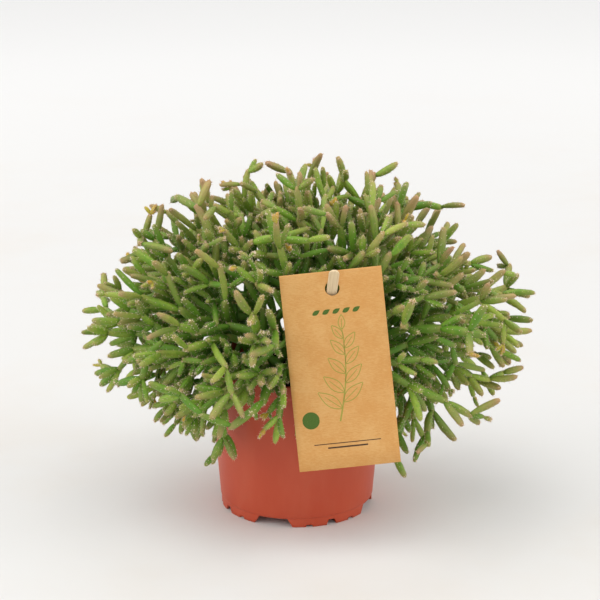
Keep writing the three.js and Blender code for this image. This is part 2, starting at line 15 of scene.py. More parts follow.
import bpy
import numpy as np
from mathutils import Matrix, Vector

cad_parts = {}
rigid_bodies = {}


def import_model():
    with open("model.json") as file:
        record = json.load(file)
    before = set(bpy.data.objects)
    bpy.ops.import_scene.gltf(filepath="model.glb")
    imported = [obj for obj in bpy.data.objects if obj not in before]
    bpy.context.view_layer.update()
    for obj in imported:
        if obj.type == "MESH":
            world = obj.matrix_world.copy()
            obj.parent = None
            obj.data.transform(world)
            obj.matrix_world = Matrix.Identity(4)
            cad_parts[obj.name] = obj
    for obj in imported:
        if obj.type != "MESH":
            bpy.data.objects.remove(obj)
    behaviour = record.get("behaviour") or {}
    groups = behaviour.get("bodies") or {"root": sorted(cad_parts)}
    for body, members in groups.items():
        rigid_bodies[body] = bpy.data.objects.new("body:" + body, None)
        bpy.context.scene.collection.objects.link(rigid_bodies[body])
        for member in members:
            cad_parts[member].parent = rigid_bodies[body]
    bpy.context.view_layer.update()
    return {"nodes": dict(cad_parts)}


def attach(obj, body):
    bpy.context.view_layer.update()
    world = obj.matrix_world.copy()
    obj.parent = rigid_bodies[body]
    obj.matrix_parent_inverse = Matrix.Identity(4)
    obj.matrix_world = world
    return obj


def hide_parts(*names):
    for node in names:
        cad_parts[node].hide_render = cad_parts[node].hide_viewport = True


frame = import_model()

LOG = logging.getLogger("rhipsalis")
MM = 0.001
GOLDEN_ANGLE = math.pi * (3 - math.sqrt(5))
Array = np.ndarray
Colour = Place = Trio = tuple[float, float, float]
Range = tuple[float, float]
Row = tuple[float, ...]
Steps = tuple[Range, ...]
Pair = tuple[Array, Array]


# Shader maths


@dataclass(frozen=True)
class Wire:
    """One output socket of a shader, which takes part in arithmetic by adding Math nodes."""

    shader: "Shader"
    socket: bpy.types.NodeSocket

    def _math(self, operation: str, first: "float | Wire", second: "float | Wire") -> "Wire":
        """Adds one Math node."""
        return self.shader.node("ShaderNodeMath", {"operation": operation}, {0: first, 1: second})

    def __add__(self, other: "float | Wire") -> "Wire":
        """self + other."""
        return self._math("ADD", self, other)

    def __radd__(self, other: "float | Wire") -> "Wire":
        """other + self."""
        return self._math("ADD", other, self)

    def __sub__(self, other: "float | Wire") -> "Wire":
        """self - other."""
        return self._math("SUBTRACT", self, other)

    def __rsub__(self, other: "float | Wire") -> "Wire":
        """other - self."""
        return self._math("SUBTRACT", other, self)

    def __mul__(self, other: "float | Wire") -> "Wire":
        """self * other."""
        return self._math("MULTIPLY", self, other)

    def __rmul__(self, other: "float | Wire") -> "Wire":
        """other * self."""
        return self._math("MULTIPLY", other, self)

    def clamp(self) -> "Wire":
        """self, held between 0 and 1."""
        return self.shader.node("ShaderNodeClamp", {}, {0: self})

    def between(self, low: float, high: float) -> "Wire":
        """0 below low, 1 above high, and smooth between them."""
        return self.shader.node(
            "ShaderNodeMapRange", {"interpolation_type": "SMOOTHSTEP"}, {0: self, 1: low, 2: high})


class Shader:
    """One material's node tree."""

    def __init__(self, name: str) -> None:
        """Makes an empty material of that name."""
        self.material = bpy.data.materials.new(name)
        self.material.use_nodes = True
        self.tree = self.material.node_tree
        self.tree.nodes.clear()

    def node(self, kind: str, settings: dict[str, Any], sockets: dict[Any, Any],
             output: int | str = 0) -> Wire:
        """Adds one node.

        Args:
            kind: Blender's name for the node's type.
            settings: The node's own settings, and a ramp's stops as (place, colour) pairs.
            sockets: Values or wires for the inputs, by place or by name.
            output: Which output the result stands for.

        Returns:
            That output.
        """
        made = self.tree.nodes.new(kind)
        for key, value in settings.items():
            if key == "stops":
                self._set_stops(made.color_ramp, value)
            else:
                setattr(made, key, value)
        for key, value in sockets.items():
            if isinstance(value, Wire):
                self.tree.links.new(value.socket, made.inputs[key])
            else:
                made.inputs[key].default_value = value
        return Wire(self, made.outputs[output])

    @staticmethod
    def _set_stops(ramp: bpy.types.ColorRamp, stops: Sequence[tuple[float, Colour]]) -> None:
        """Sets a ramp's colours at their places."""
        while len(ramp.elements) < len(stops):
            ramp.elements.new(1.0)
        for element, (place, colour) in zip(ramp.elements, stops):
            element.position = place
            element.color = (*colour, 1.0)

    def place(self, scale: Sequence[float] = (1, 1, 1)) -> Wire:
        """Object coordinates in metres, scaled along each axis."""
        raw = self.node("ShaderNodeTexCoord", {}, {}, "Object")
        return self.node("ShaderNodeMapping", {}, {"Vector": raw, "Scale": scale})

    def attribute(self, name: str) -> Wire:
        """A number that the mesh carries at each corner or point."""
        return self.node("ShaderNodeAttribute", {"attribute_name": name}, {}, "Fac")

    def noise(self, where: Wire, scale: float, detail: float = 3.0, roughness: float = 0.5) -> Wire:
        """Cloudy noise from 0 to 1, with that many grains a metre."""
        return self.node("ShaderNodeTexNoise", {}, {
            "Vector": where, "Scale": scale, "Detail": detail, "Roughness": roughness})

    def ramp(self, value: Wire, stops: Sequence[tuple[float, Colour]]) -> Wire:
        """A colour looked up along a ramp."""
        return self.node("ShaderNodeValToRGB", {"stops": stops}, {0: value})

    def mix(self, share: Wire, first: Wire | Colour, second: Wire | Colour) -> Wire:
        """first where share is 0 and second where it is 1, as colours."""
        colours = [c if isinstance(c, Wire) else (*c, 1.0) for c in (first, second)]
        return self.node("ShaderNodeMix", {"data_type": "RGBA"}, {0: share, 6: colours[0], 7: colours[1]}, 2)

    def bump(self, height: Wire, distance: float, strength: float = 1.0) -> Wire:
        """A normal bent by a height map, whose 0 to 1 is that distance in metres."""
        return self.node("ShaderNodeBump", {}, {
            "Height": height, "Distance": distance, "Strength": strength})

    def finish(self, **sockets: Any) -> bpy.types.Material:
        """Ends the tree in one Principled shader.

        Args:
            **sockets: The shader's inputs by name, with _ for a space.

        Returns:
            The material.
        """
        named = {key.replace("_", " "): value for key, value in sockets.items()}
        skin = self.node("ShaderNodeBsdfPrincipled", {}, named)
        end = self.tree.nodes.new("ShaderNodeOutputMaterial")
        self.tree.links.new(skin.socket, end.inputs["Surface"])
        return self.material


# Finishes


@dataclass(frozen=True)
class PotPlastic:
    """Thin moulded terracotta plastic: a soft sheen, faint flow marks and a little dust low down."""

    body: Colour = (0.490, 0.062, 0.020)
    pale: Colour = (0.560, 0.100, 0.042)
    dust: Colour = (0.50, 0.22, 0.14)
    # Grains a metre, and up to which height in metres the dust is thickest
    flow_scale: float = 70
    grain_scale: float = 900
    smudge_scale: float = 45
    dusty: float = 0.016

    def make(self) -> bpy.types.Material:
        """Builds the material."""
        s = Shader("pot_plastic")
        flow = s.noise(s.place((1, 1, 0.25)), self.flow_scale, 4, 0.55)
        grain = s.noise(s.place(), self.grain_scale, 2, 0.6)
        height = s.node("ShaderNodeSeparateXYZ", {}, {0: s.place()}, 2)
        low = 1 - height.between(0.0, self.dusty)
        smudge = s.noise(s.place(), self.smudge_scale, 5, 0.65).between(0.52, 0.78)
        colour = s.mix(flow.between(0.35, 0.75) * 0.35, self.body, self.pale)
        colour = s.mix((low * 0.22 + 0.08) * smudge, colour, self.dust)
        return s.finish(
            Base_Color=colour,
            Roughness=0.40 + smudge * 0.14 + grain * 0.06,
            Normal=s.bump(flow * 0.5 + grain * 0.1, 0.00012, 0.6),
            Specular_IOR_Level=0.45,
            Subsurface_Weight=0.06, Subsurface_Scale=0.002,
        )


@dataclass(frozen=True)
class Peat:
    """Dark crumbly peat, darker in the hollows of its bump and paler on its raised crumbs, with a few paler
    fibres.
    """

    hollow_colour: Colour = (0.016, 0.009, 0.006)
    crumb_colour: Colour = (0.060, 0.034, 0.020)
    fibre: Colour = (0.150, 0.095, 0.055)
    crumb_scale: float = 420
    patch_scale: float = 60

    def make(self) -> bpy.types.Material:
        """Builds the material."""
        s = Shader("peat")
        crumb = s.noise(s.place(), self.crumb_scale, 6, 0.7)
        patch = s.noise(s.place(), self.patch_scale)
        # Darker where the bump's noise is low and paler where it is high, with slower patches over that
        raised_share = (crumb.between(0.35, 0.75) * 0.7 + patch.between(0.4, 0.7) * 0.3).clamp()
        colour = s.ramp(raised_share, ((0.0, self.hollow_colour), (0.8, self.crumb_colour), (1.0, self.fibre)))
        return s.finish(Base_Color=colour, Roughness=0.95, Normal=s.bump(crumb, 0.0012),
                        Specular_IOR_Level=0.2)


@dataclass(frozen=True)
class Flesh:
    """The joints' waxy skin: green by family and chance, with painted shade deep within the mound and at each
    joint's foot, brighter outwards, partly as painted light, and then bronzed towards exposed tips.
    """

    shade: Colour = (0.060, 0.180, 0.012)
    leaf: Colour = (0.215, 0.390, 0.038)
    bright: Colour = (0.480, 0.590, 0.085)
    bronze: Colour = (0.420, 0.300, 0.120)
    rose: Colour = (0.420, 0.235, 0.135)
    young: Colour = (0.760, 0.400, 0.030)
    tip: Colour = (0.480, 0.280, 0.140)
    sun_scale: float = 60
    cloud_scale: float = 160
    fleck_scale: float = 620
    pore_scale: float = 1300

    def make(self) -> bpy.types.Material:
        """Builds the material."""
        s = Shader("joint_flesh")
        tint, bronzed, along = s.attribute("tint"), s.attribute("bronzed"), s.attribute("along")
        cloud = s.noise(s.place(), self.cloud_scale, 3, 0.6)
        fleck = s.noise(s.place(), self.fleck_scale, 2, 0.6)
        tip = along.between(0.55, 1.05)
        # The joints' own green by family and chance, taken towards the shade colour by the painted shade of
        # joints deep inside the mound
        colour = s.mix((tint + cloud * 0.35 - 0.17).clamp(), self.shade, self.leaf)
        # Partly painted light: the bright yellow-green rises with that painted shade's share, as well as with
        # random flecks
        fresh_and_lit = ((tint - 0.45) * 1.3 + (cloud - 0.5) * 0.5 + (fleck - 0.5) * 0.8).clamp()
        colour = s.mix(fresh_and_lit, colour, self.bright)
        exposed = (bronzed * (along * 0.7 + 0.4) + tip * 0.22 + (cloud - 0.55) * 0.45).clamp()
        sun = s.mix(s.noise(s.place(), self.sun_scale, 2).between(0.4, 0.62), self.bronze, self.rose)
        colour = s.mix(exposed * 0.9, colour, sun)
        # Painted shade at each joint's foot, where it sits in the tip that bears it
        colour = s.mix((1 - along.between(0.0, 0.2)) * 0.35, colour, self.shade)
        colour = s.mix(along.between(0.88, 1.02) * (bronzed * 0.4 + 0.12), colour, self.tip)
        colour = s.mix(s.attribute("young"), colour, self.young)
        return s.finish(
            Base_Color=colour,
            Roughness=0.36 + cloud * 0.14,
            Normal=s.bump(s.noise(s.place(), self.pore_scale, 2, 0.6), 0.00025, 0.6),
            Specular_IOR_Level=0.26,
            Subsurface_Weight=0.08, Subsurface_Scale=0.002,
        )


@dataclass(frozen=True)
class Bristle:
    """Straw-coloured wool and bristles, rusty on some joints."""

    straw: Colour = (0.86, 0.72, 0.54)
    rust: Colour = (0.60, 0.36, 0.22)

    def make(self) -> bpy.types.Material:
        """Builds the material."""
        s = Shader("bristle")
        colour = s.mix(s.attribute("bronzed"), self.straw, self.rust)
        return s.finish(Base_Color=colour, Roughness=0.8, Specular_IOR_Level=0.2)


@dataclass(frozen=True)
class Birch:
    """Plain pale wood, grained along the stick."""

    pale: Colour = (0.78, 0.62, 0.40)
    dark: Colour = (0.58, 0.40, 0.22)
    # Grains a metre across and along the stick
    grains: Trio = (1400, 60, 1)

    def make(self) -> bpy.types.Material:
        """Builds the material."""
        s = Shader("birch")
        where = s.node("ShaderNodeUVMap", {"uv_map": "grain"}, {})
        stretched = s.node("ShaderNodeMapping", {}, {"Vector": where, "Scale": self.grains})
        grain = s.noise(stretched, 1, 4, 0.6)
        colour = s.mix(grain.between(0.42, 0.72) * 0.6, self.pale, self.dark)
        return s.finish(Base_Color=colour, Roughness=0.72, Normal=s.bump(grain, 0.0001, 0.6))


@dataclass(frozen=True)
class Kraft:
    """Brown kraft board: fine fibres, pale and dark flecks, and a slight unevenness."""

    sheet: Colour = (0.640, 0.320, 0.098)
    fibre: Colour = (0.710, 0.410, 0.155)
    fleck: Colour = (0.400, 0.190, 0.065)
    long_scale: float = 1700
    cross_scale: float = 1300
    cloud_scale: float = 50

    def make(self) -> bpy.types.Material:
        """Builds the material."""
        s = Shader("kraft_board")
        long = s.noise(s.place((0.25, 1, 1)), self.long_scale, 3, 0.7)
        cross = s.noise(s.place((1, 1, 0.3)), self.cross_scale, 3, 0.7)
        cloud = s.noise(s.place(), self.cloud_scale, 4, 0.6)
        colour = s.mix((long * 0.5 + cloud * 0.5).between(0.38, 0.66), self.sheet, self.fibre)
        colour = s.mix(cross.between(0.62, 0.76) * 0.35, colour, self.fleck)
        return s.finish(Base_Color=colour, Roughness=0.86, Normal=s.bump(long + cross, 0.00012, 0.7),
                        Specular_IOR_Level=0.25)


@dataclass(frozen=True)
class Ink:
    """A flat printing ink, a little uneven from the board below it."""

    name: str
    colour: Colour
    worn: Colour
    patch_scale: float = 1500

    def make(self) -> bpy.types.Material:
        """Builds the material."""
        s = Shader(self.name)
        patchy = s.noise(s.place(), self.patch_scale, 3, 0.7).between(0.45, 0.8)
        return s.finish(Base_Color=s.mix(patchy * 0.6, self.colour, self.worn), Roughness=0.75,
                        Specular_IOR_Level=0.25)


@dataclass(frozen=True)
class Paper:
    """The pale studio floor: painted lighter right beside the pot to lift its shadow, with painted shade
    about it against the lamps' brighter pool, patches of painted warm bounce from the pot, and plain pale
    further off.
    """

    # Painted light right beside the pot, which lifts the pot's shadow there
    swept: Colour = (0.81, 0.806, 0.798)
    # Painted shade about the pot, which cancels the brighter pool that the lamps throw there
    near: Colour = (0.69, 0.687, 0.680)
    # Painted reflection: the warm bounce from the pot onto the floor near it
    painted_bounce: Colour = (0.66, 0.60, 0.53)
    far: Colour = (0.90, 0.90, 0.90)
    # Distances in metres over which it changes: from the painted lift to the painted shade, and from that to
    # far
    painted_lift_span: Range = (0.07, 0.16)
    fade: Range = (0.25, 2.2)
    # Grains a metre of the patches of painted warm bounce
    smudge_scale: float = 3.5

    def make(self) -> bpy.types.Material:
        """Builds the material."""
        s = Shader("studio_floor")
        smudge = s.noise(s.place(), self.smudge_scale, 5, 0.6)
        away = s.node("ShaderNodeVectorMath", {"operation": "LENGTH"}, {0: s.place()}, 1)
        # Painted light and shade: patches of warm bounce over the painted shade, the painted lift beside the
        # pot, and the plain floor far off
        bounce_tinted = s.mix(smudge.between(0.45, 0.75) * 0.4, self.near, self.painted_bounce)
        about = s.mix(away.between(*self.painted_lift_span), self.swept, bounce_tinted)
        colour = s.mix(away.between(*self.fade), about, self.far)
        return s.finish(Base_Color=colour, Roughness=0.7, Specular_IOR_Level=0.2)


# Meshes


def make_object(name: str, points: Array, faces: Sequence[Array],
                materials: Sequence[bpy.types.Material], smooth: bool = True) -> bpy.types.Object:
    """Puts one mesh into the scene.

    Args:
        name: The object's name.
        points: Places in metres, one row each.
        faces: Arrays of point numbers, each of one width (3 for triangles, 4 for quads).
        materials: The mesh's materials, in slot order.
        smooth: Whether faces are shaded as one smooth surface.

    Returns:
        The object, at the origin.
    """
    mesh = bpy.data.meshes.new(name)
    rows = [block for block in faces if len(block)]
    corners = np.concatenate([block.ravel() for block in rows])
    totals = np.concatenate([np.full(len(block), block.shape[1]) for block in rows])
    mesh.vertices.add(len(points))
    mesh.vertices.foreach_set("co", np.asarray(points, np.float32).ravel())
    mesh.loops.add(len(corners))
    mesh.loops.foreach_set("vertex_index", corners.astype(np.int32))
    mesh.polygons.add(len(totals))
    mesh.polygons.foreach_set("loop_start", (np.cumsum(totals) - totals).astype(np.int32))
    mesh.polygons.foreach_set("use_smooth", np.full(len(totals), smooth))
    mesh.update(calc_edges=True)
    mesh.validate()
    for material in materials:
        mesh.materials.append(material)
    made = bpy.data.objects.new(name, mesh)
    bpy.context.scene.collection.objects.link(made)
    return made


def grid_faces(rows: int, columns: int, close_rows: bool = False) -> Array:
    """Quads over closed rows of points, numbered row by row, whose last row may join the first."""
    row = np.arange(rows if close_rows else rows - 1)[:, None]
    column = np.arange(columns)[None, :]
    next_row, next_column = (row + 1) % rows, (column + 1) % columns
    quads = (row * columns + column, row * columns + next_column,
             next_row * columns + next_column, next_row * columns + column)
    return np.stack(np.broadcast_arrays(*quads), axis=-1).reshape(-1, 4)


def pole_faces(pole: int, ring: Array, outward: bool) -> Array:
    """Triangles from one point to a closed ring of points."""
    following = np.roll(ring, -1)
    pair = (ring, following) if outward else (following, ring)
    return np.stack([np.full(len(ring), pole), *pair], axis=-1)


def circle(count: int) -> Array:
    """Directions evenly round a turn, in radians."""
    return np.arange(count) * 2 * np.pi / count


def turned(radii: Array | float, heights: Array | float, around: Array) -> Array:
    """Points of rings round Z, row by row: x = r cos a, y = r sin a, and z as it is given."""
    rings = np.broadcast_arrays(radii * np.cos(around), radii * np.sin(around), heights)
    return np.stack(rings, axis=-1).reshape(-1, 3)


def closed_faces(rows: int, columns: int, inward: bool = False) -> Pair:
    """The faces of a closed body of rings.

    Args:
        rows: How many rings there are.
        columns: How many points each has.
        inward: Whether the rings go down on the outside, where they would face inwards otherwise.

    Returns:
        Quads between the rings, and triangles to the first ring's pole, whose number is next after
        the rings, and to the last ring's pole after it.
    """
    ring = np.arange(columns)
    quads = grid_faces(rows, columns)
    ends = np.concatenate([pole_faces(rows * columns, ring, False),
                           pole_faces(rows * columns + 1, (rows - 1) * columns + ring, True)])
    return (quads[:, ::-1], ends[:, ::-1]) if inward else (quads, ends)


def on_each(faces: Array, bodies: int, points: int) -> Array:
    """The same faces on each of some bodies that have so many points each."""
    return (faces[None] + (np.arange(bodies) * points)[:, None, None]).reshape(-1, faces.shape[1])


def joined(parts: Sequence[Pair]) -> Pair:
    """Several blocks of points and faces as one."""
    firsts = np.cumsum([0] + [len(points) for points, _ in parts[:-1]])
    return (np.concatenate([points for points, _ in parts]),
            np.concatenate([faces + first for (_, faces), first in zip(parts, firsts)]))


def set_number(made: bpy.types.Object, name: str, values: Array) -> None:
    """Stores one number at each point of a mesh, under that name."""
    layer = made.data.attributes.new(name, "FLOAT", "POINT")
    layer.data.foreach_set("value", values.astype(np.float32))


def settle(made: bpy.types.Object, slot: str, *nodes: str) -> bpy.types.Object:
    """Attaches a piece to the root body, hides the solids that it stands for and logs its faces."""
    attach(made, "root")
    if nodes:
        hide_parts(*nodes)
    LOG.info("%s: %d faces", made.name, len(made.data.polygons))
    return made


# Pot and peat


@dataclass(frozen=True)
class Notch:
    """One kind of notch in the pot's skirt: sizes in mm, and places in degrees from the first."""

    places: Row
    top: float
    # Its width at 1 mm below the ground
    bottom: float
    height: float


@dataclass
class NurseryPot:
    """The thin moulded pot: foot skirt with notches, step ring, tapered wall and thick lip, in mm."""

    height: float = 97
    foot_radius: float = 49
    slope: float = 0.082
    wall: float = 1.2
    foot_height: float = 6
    foot_step: float = 0.5
    lip_radius: float = 60
    lip_height: float = 9
    disc_radius: float = 20
    first_notch: float = math.radians(-108)
    notches: tuple[Notch, ...] = (
        Notch((0,), 19, 27, 5.4), Notch((-27.5, 27.5), 4, 4.6, 1.3), Notch((45,), 4.4, 8, 3.4))
    quarters: int = 4
    drains: int = 6
    drain_ring: float = 34
    drain_radius: float = 3
    drain_sides: int = 24
    sides: int = 180
    # The section's rounded corners: steps out and up in mm from the place that each one turns about
    disc_corner: Steps = ((-0.8, 0), (0, 0.3))
    floor_corner: Steps = ((1.7, -0.5), (2.4, 0))
    skirt_top: Steps = ((-1.6, 0), (-1.0, -0.25))
    skirt_edge: Steps = ((-0.55, 0), (-0.35, 0))
    skirt_toe: Steps = ((-0.35, 0), (-0.05, 0.15))
    step_corner: Steps = ((0, 0.5), (0.12, 0.9))
    neck: Steps = ((-0.1, -0.9), (0.25, -0.35))
    lip_under: Steps = ((-1.4, 0), (-0.85, 0.3), (-0.72, 1.2), (-0.3, 5))
    lip_top: Steps = ((-0.05, -1.2), (-0.1, -0.5), (-0.35, -0.1), (-0.6, 0))
    lip_inside: Steps = ((0, 0), (-0.2, -0.3))
    lip_hollow: Steps = ((-0.8, 2), (-1.2, 0.8))
    disc_inside: Steps = ((-0.6, 0.4), (-1.6, 0))
    floor_rings: Range = (30, 38)
    middle_ring: float = 6

    def wall_radius(self, z: float | Array) -> float | Array:
        """The outer wall's radius at a height: it grows evenly from the foot."""
        return self.foot_radius + self.slope * z

    def _angles_and_edge(self) -> Pair:
        """Directions round the pot, with one at each notch's corners, and the skirt's lower edge there.

        Each notch lifts the edge to its height over its top width, and down to the ground along
        straight slopes on both sides.
        """
        angles = [circle(self.sides)]
        spans: list[Row] = []
        for notch in self.notches:
            ground = notch.bottom - (notch.bottom - notch.top) / (notch.height + 1)
            halves = np.array([-ground, -notch.top, notch.top, ground]) / 2
            for place in notch.places:
                for quarter in range(self.quarters):
                    middle = self.first_notch + math.radians(place) + quarter * 2 * math.pi / self.quarters
                    spans.append((middle, notch.top / 2, ground / 2, notch.height))
                    angles.append(middle + halves / self.foot_radius)
        around = np.unique(np.round(np.concatenate(angles) % (2 * np.pi), 5))
        edge = np.zeros_like(around)
        for middle, top, ground, height in spans:
            off = np.abs((around - middle + np.pi) % (2 * np.pi) - np.pi) * self.foot_radius
            edge = np.maximum(edge, height * np.clip((ground - off) / (ground - top), 0, 1))
        return around, edge

    def _profile(self, edge: Array) -> Pair:
        """Radius and height along the shell's section, from under the disc round the lip to its inside.

        Args:
            edge: The skirt's lower edge in each direction.

        Returns:
            Radii and heights, a row for each place on the section and a column for each direction.
        """
        foot, floor = self.foot_height, self.foot_height + self.wall
        shoulder, top, lip = self.height - self.lip_height, self.height, self.lip_radius
        skirt, disc = self.foot_radius - self.wall, self.disc_radius
        flat = np.zeros_like(edge)
        rows: list[Pair] = []

        def at(radius: float | Array, z: float | Array, steps: Steps = ((0, 0),)) -> None:
            """Adds places on the section, each some steps out and up from one place."""
            rows.extend((flat + (radius + out), flat + (z + up)) for out, up in steps)

        # Out along the underside, and up to the top of the skirt's inside
        at(self.middle_ring, 0)
        at(disc, 0, self.disc_corner)
        at(disc, foot, self.floor_corner)
        for radius in self.floor_rings:
            at(radius, foot)
        at(skirt, foot, self.skirt_top)
        # Down the skirt's inside, round its lower edge and up its outside to the step
        inner_foot = np.minimum(edge, foot - 0.4)
        for share in (0.6, 0.2):
            at(skirt - 0.9 + 0.25 * share, inner_foot + (foot - 0.3 - inner_foot) * share)
        at(skirt, inner_foot, self.skirt_edge)
        at(self.foot_radius, inner_foot, self.skirt_toe)
        for share in (0.25, 0.6, 0.92):
            z = inner_foot + 0.2 + (foot - 0.35 - inner_foot) * share
            at(self.foot_radius + (self.slope * foot - self.foot_step) * z / foot, z)
        at(self.wall_radius(foot) - self.foot_step + 0.1, foot + 0.1)
        at(self.wall_radius(foot), foot, self.step_corner)
        # Up the wall, round the lip and down to the wall's inside
        for z in np.linspace(foot + 3, shoulder - 2, 14):
            at(self.wall_radius(z), z)
        at(self.wall_radius(shoulder), shoulder, self.neck)
        at(lip, shoulder, self.lip_under)
        at(lip, top, self.lip_top)
        at(lip - self.wall, top, self.lip_inside)
        at(lip - self.wall, shoulder, self.lip_hollow)
        at(self.wall_radius(shoulder) - self.wall, shoulder - 0.4)
        # Down the wall's inside, and in along the floor
        for z in np.linspace(shoulder - 6, floor + 1, 8):
            at(self.wall_radius(z) - self.wall, z)
        at(self.wall_radius(floor) - self.wall - 0.8, floor)
        for radius in self.floor_rings[::-1]:
            at(radius, floor)
        at(disc + 1.2, floor)
        at(disc, self.wall, self.disc_inside)
        at(self.middle_ring, self.wall)
        radii, heights = zip(*rows)
        return np.stack(radii), np.stack(heights)

    def _shell(self, finish: bpy.types.Material) -> bpy.types.Object:
        """The section carried round the axis, and closed at the middle of the floor on both sides."""
        around, edge = self._angles_and_edge()
        radii, heights = self._profile(edge)
        points = np.concatenate([turned(radii, heights, around), [[0, 0, 0], [0, 0, self.wall]]])
        return make_object("nursery_pot", points * MM, closed_faces(*radii.shape), [finish])

    def _drain(self, made: bpy.types.Object) -> None:
        """Cuts the drain holes through the floor with upright round posts."""
        low, high = self.foot_height - 3, self.foot_height + self.wall + 3
        ring = turned(self.drain_radius, np.array([[low], [high]]), circle(self.drain_sides))
        post = np.concatenate([ring, [[0, 0, low], [0, 0, high]]])
        middles = turned(self.drain_ring, 0.0, circle(self.drains) + np.pi / self.drains)
        points = (middles[:, None] + post).reshape(-1, 3)
        faces = [on_each(block, self.drains, len(post)) for block in closed_faces(2, self.drain_sides)]
        cutter = make_object("drain_posts", points * MM, faces, [], False)
        cut = made.modifiers.new("drains", "BOOLEAN")
        cut.operation, cut.solver, cut.object = "DIFFERENCE", "EXACT", cutter
        bpy.context.view_layer.update()
        holed = bpy.data.meshes.new_from_object(made.evaluated_get(bpy.context.evaluated_depsgraph_get()))
        made.modifiers.clear()
        made.data = holed
        bpy.data.objects.remove(cutter)

    def build(self) -> None:
        """Builds the pot in place of its solid."""
        made = self._shell(PotPlastic().make())
        self._drain(made)
        settle(made, "pot", "pot")


@dataclass
class PeatFill:
    """The block of peat that fills the pot, crumbly on top, in mm."""

    pot: NurseryPot
    top: float = 87
    gap: float = 0.35
    rings: int = 44
    sides: int = 132
    # The rounded top edge: steps out and up from it
    rounding: Steps = ((-0.3, 0), (-0.1, -0.8))
    # Rings down the side, the first of them so much below the top
    side_rings: int = 6
    side_start: float = 3
    crumbs: int = 420
    crumb_sizes: Range = (0.5, 1.7)
    # How far inside the wall the crumbs stay, and how far above the peat their middles are
    crumb_margin: float = 2.5
    crumb_rise: float = 0.2
    # A crumb of size 1: the radius, height and turn of its two rings, and how far out its poles are
    crumb_sides: int = 8
    crumb_rings: tuple[Trio, Trio] = ((0.85, -0.45, 0), (0.8, 0.5, 0.4))
    crumb_pole: float = 0.95
    # How crumbs differ: at each point, and in how far they stretch along each axis
    unevenness: Range = (0.7, 1.3)
    stretch: Range = (0.6, 1.2)
    seed: int = 3

    def relief(self, x: Array, y: Array) -> Array:
        """The surface's rise and fall in mm: two slow waves, and three quick ones for the crumbs."""
        slow = 0.8 * np.sin(0.21 * x + 0.6) * np.cos(0.17 * y) + 0.5 * np.sin(0.11 * (x - 2 * y))
        quick = np.sin(1.3 * x + 0.9 * y) * np.sin(1.1 * y - 0.7 * x)
        return slow + 0.32 * (quick + 0.6 * np.sin(2.3 * x) * np.sin(2.6 * y + 1))

    def _block(self, finish: bpy.types.Material) -> bpy.types.Object:
        """Rings out over the top, down the side and in below, closed at both middles."""
        pot = self.pot
        low, bottom = pot.foot_height + pot.wall + self.gap, pot.wall + self.gap
        edge = pot.wall_radius(self.top) - bottom
        well = pot.disc_radius - bottom
        side = np.linspace(self.top - self.side_start, low, self.side_rings)
        (inner, _), (outer, drop) = self.rounding
        radii = np.concatenate([np.linspace(edge / self.rings, edge + inner, self.rings), [edge + outer],
                                pot.wall_radius(side) - bottom, [well + 2, well]])[:, None]
        heights = np.concatenate([np.full(self.rings, self.top), [self.top + drop], side,
                                  [low, bottom]])[:, None]
        points = turned(radii, heights, circle(self.sides))
        points = np.concatenate([points, [[0, 0, self.top], [0, 0, bottom]]])
        x, y, z = points.T
        points[:, 2] += np.where(z > self.top - 1, self.relief(x, y), 0)
        return make_object("peat", points * MM, closed_faces(len(radii), self.sides, inward=True), [finish])

    def _crumbs(self, finish: bpy.types.Material) -> bpy.types.Object:
        """Loose crumbs: eight-sided lumps of two rings between poles, each stretched and turned by chance."""
        rng = np.random.default_rng(self.seed)
        n, around = self.crumbs, circle(self.crumb_sides)
        edge = self.pot.wall_radius(self.top) - self.pot.wall - self.crumb_margin
        turn, out = rng.uniform(0, 2 * np.pi, n), edge * np.sqrt(rng.uniform(0, 1, n))
        x, y = out * np.cos(turn), out * np.sin(turn)
        sizes = rng.uniform(*self.crumb_sizes, n)
        middle = np.stack([x, y, self.top + self.relief(x, y) + self.crumb_rise * sizes], axis=-1)
        rings = [turned(radius, height, around + shift) for radius, height, shift in self.crumb_rings]
        lump = np.concatenate([*rings, [[0, 0, -self.crumb_pole], [0, 0, self.crumb_pole]]])
        uneven = rng.uniform(*self.unevenness, (n, len(lump), 1))
        lumps = lump * uneven * rng.uniform(*self.stretch, (n, 1, 3)) * sizes[:, None, None]
        spin = rng.uniform(0, 2 * np.pi, n)
        c, s = np.cos(spin)[:, None], np.sin(spin)[:, None]
        lumps = np.stack([lumps[..., 0] * c - lumps[..., 1] * s, lumps[..., 0] * s + lumps[..., 1] * c,
                          lumps[..., 2]], axis=-1)
        points = (middle[:, None, :] + lumps).reshape(-1, 3)
        faces = [on_each(block, n, len(lump)) for block in closed_faces(len(rings), self.crumb_sides)]
        return make_object("peat_crumbs", points * MM, faces, [finish])

    def build(self) -> None:
        """Builds the peat in place of its solid, and the crumbs on it."""
        finish = Peat().make()
        settle(self._block(finish), "soil", "soil")
        settle(self._crumbs(finish), "soil")


# Branching


def dot(a: Array, b: Array) -> Array:
    """Products of matching rows, summed in X, Y, Z order."""
    return a[..., 0] * b[..., 0] + a[..., 1] * b[..., 1] + a[..., 2] * b[..., 2]


def size(a: Array) -> Array:
    """Length of each row."""
    return np.sqrt(dot(a, a))


def unit(a: Array) -> Array:
    """Each row at length 1."""
    return a / size(a)[..., None]


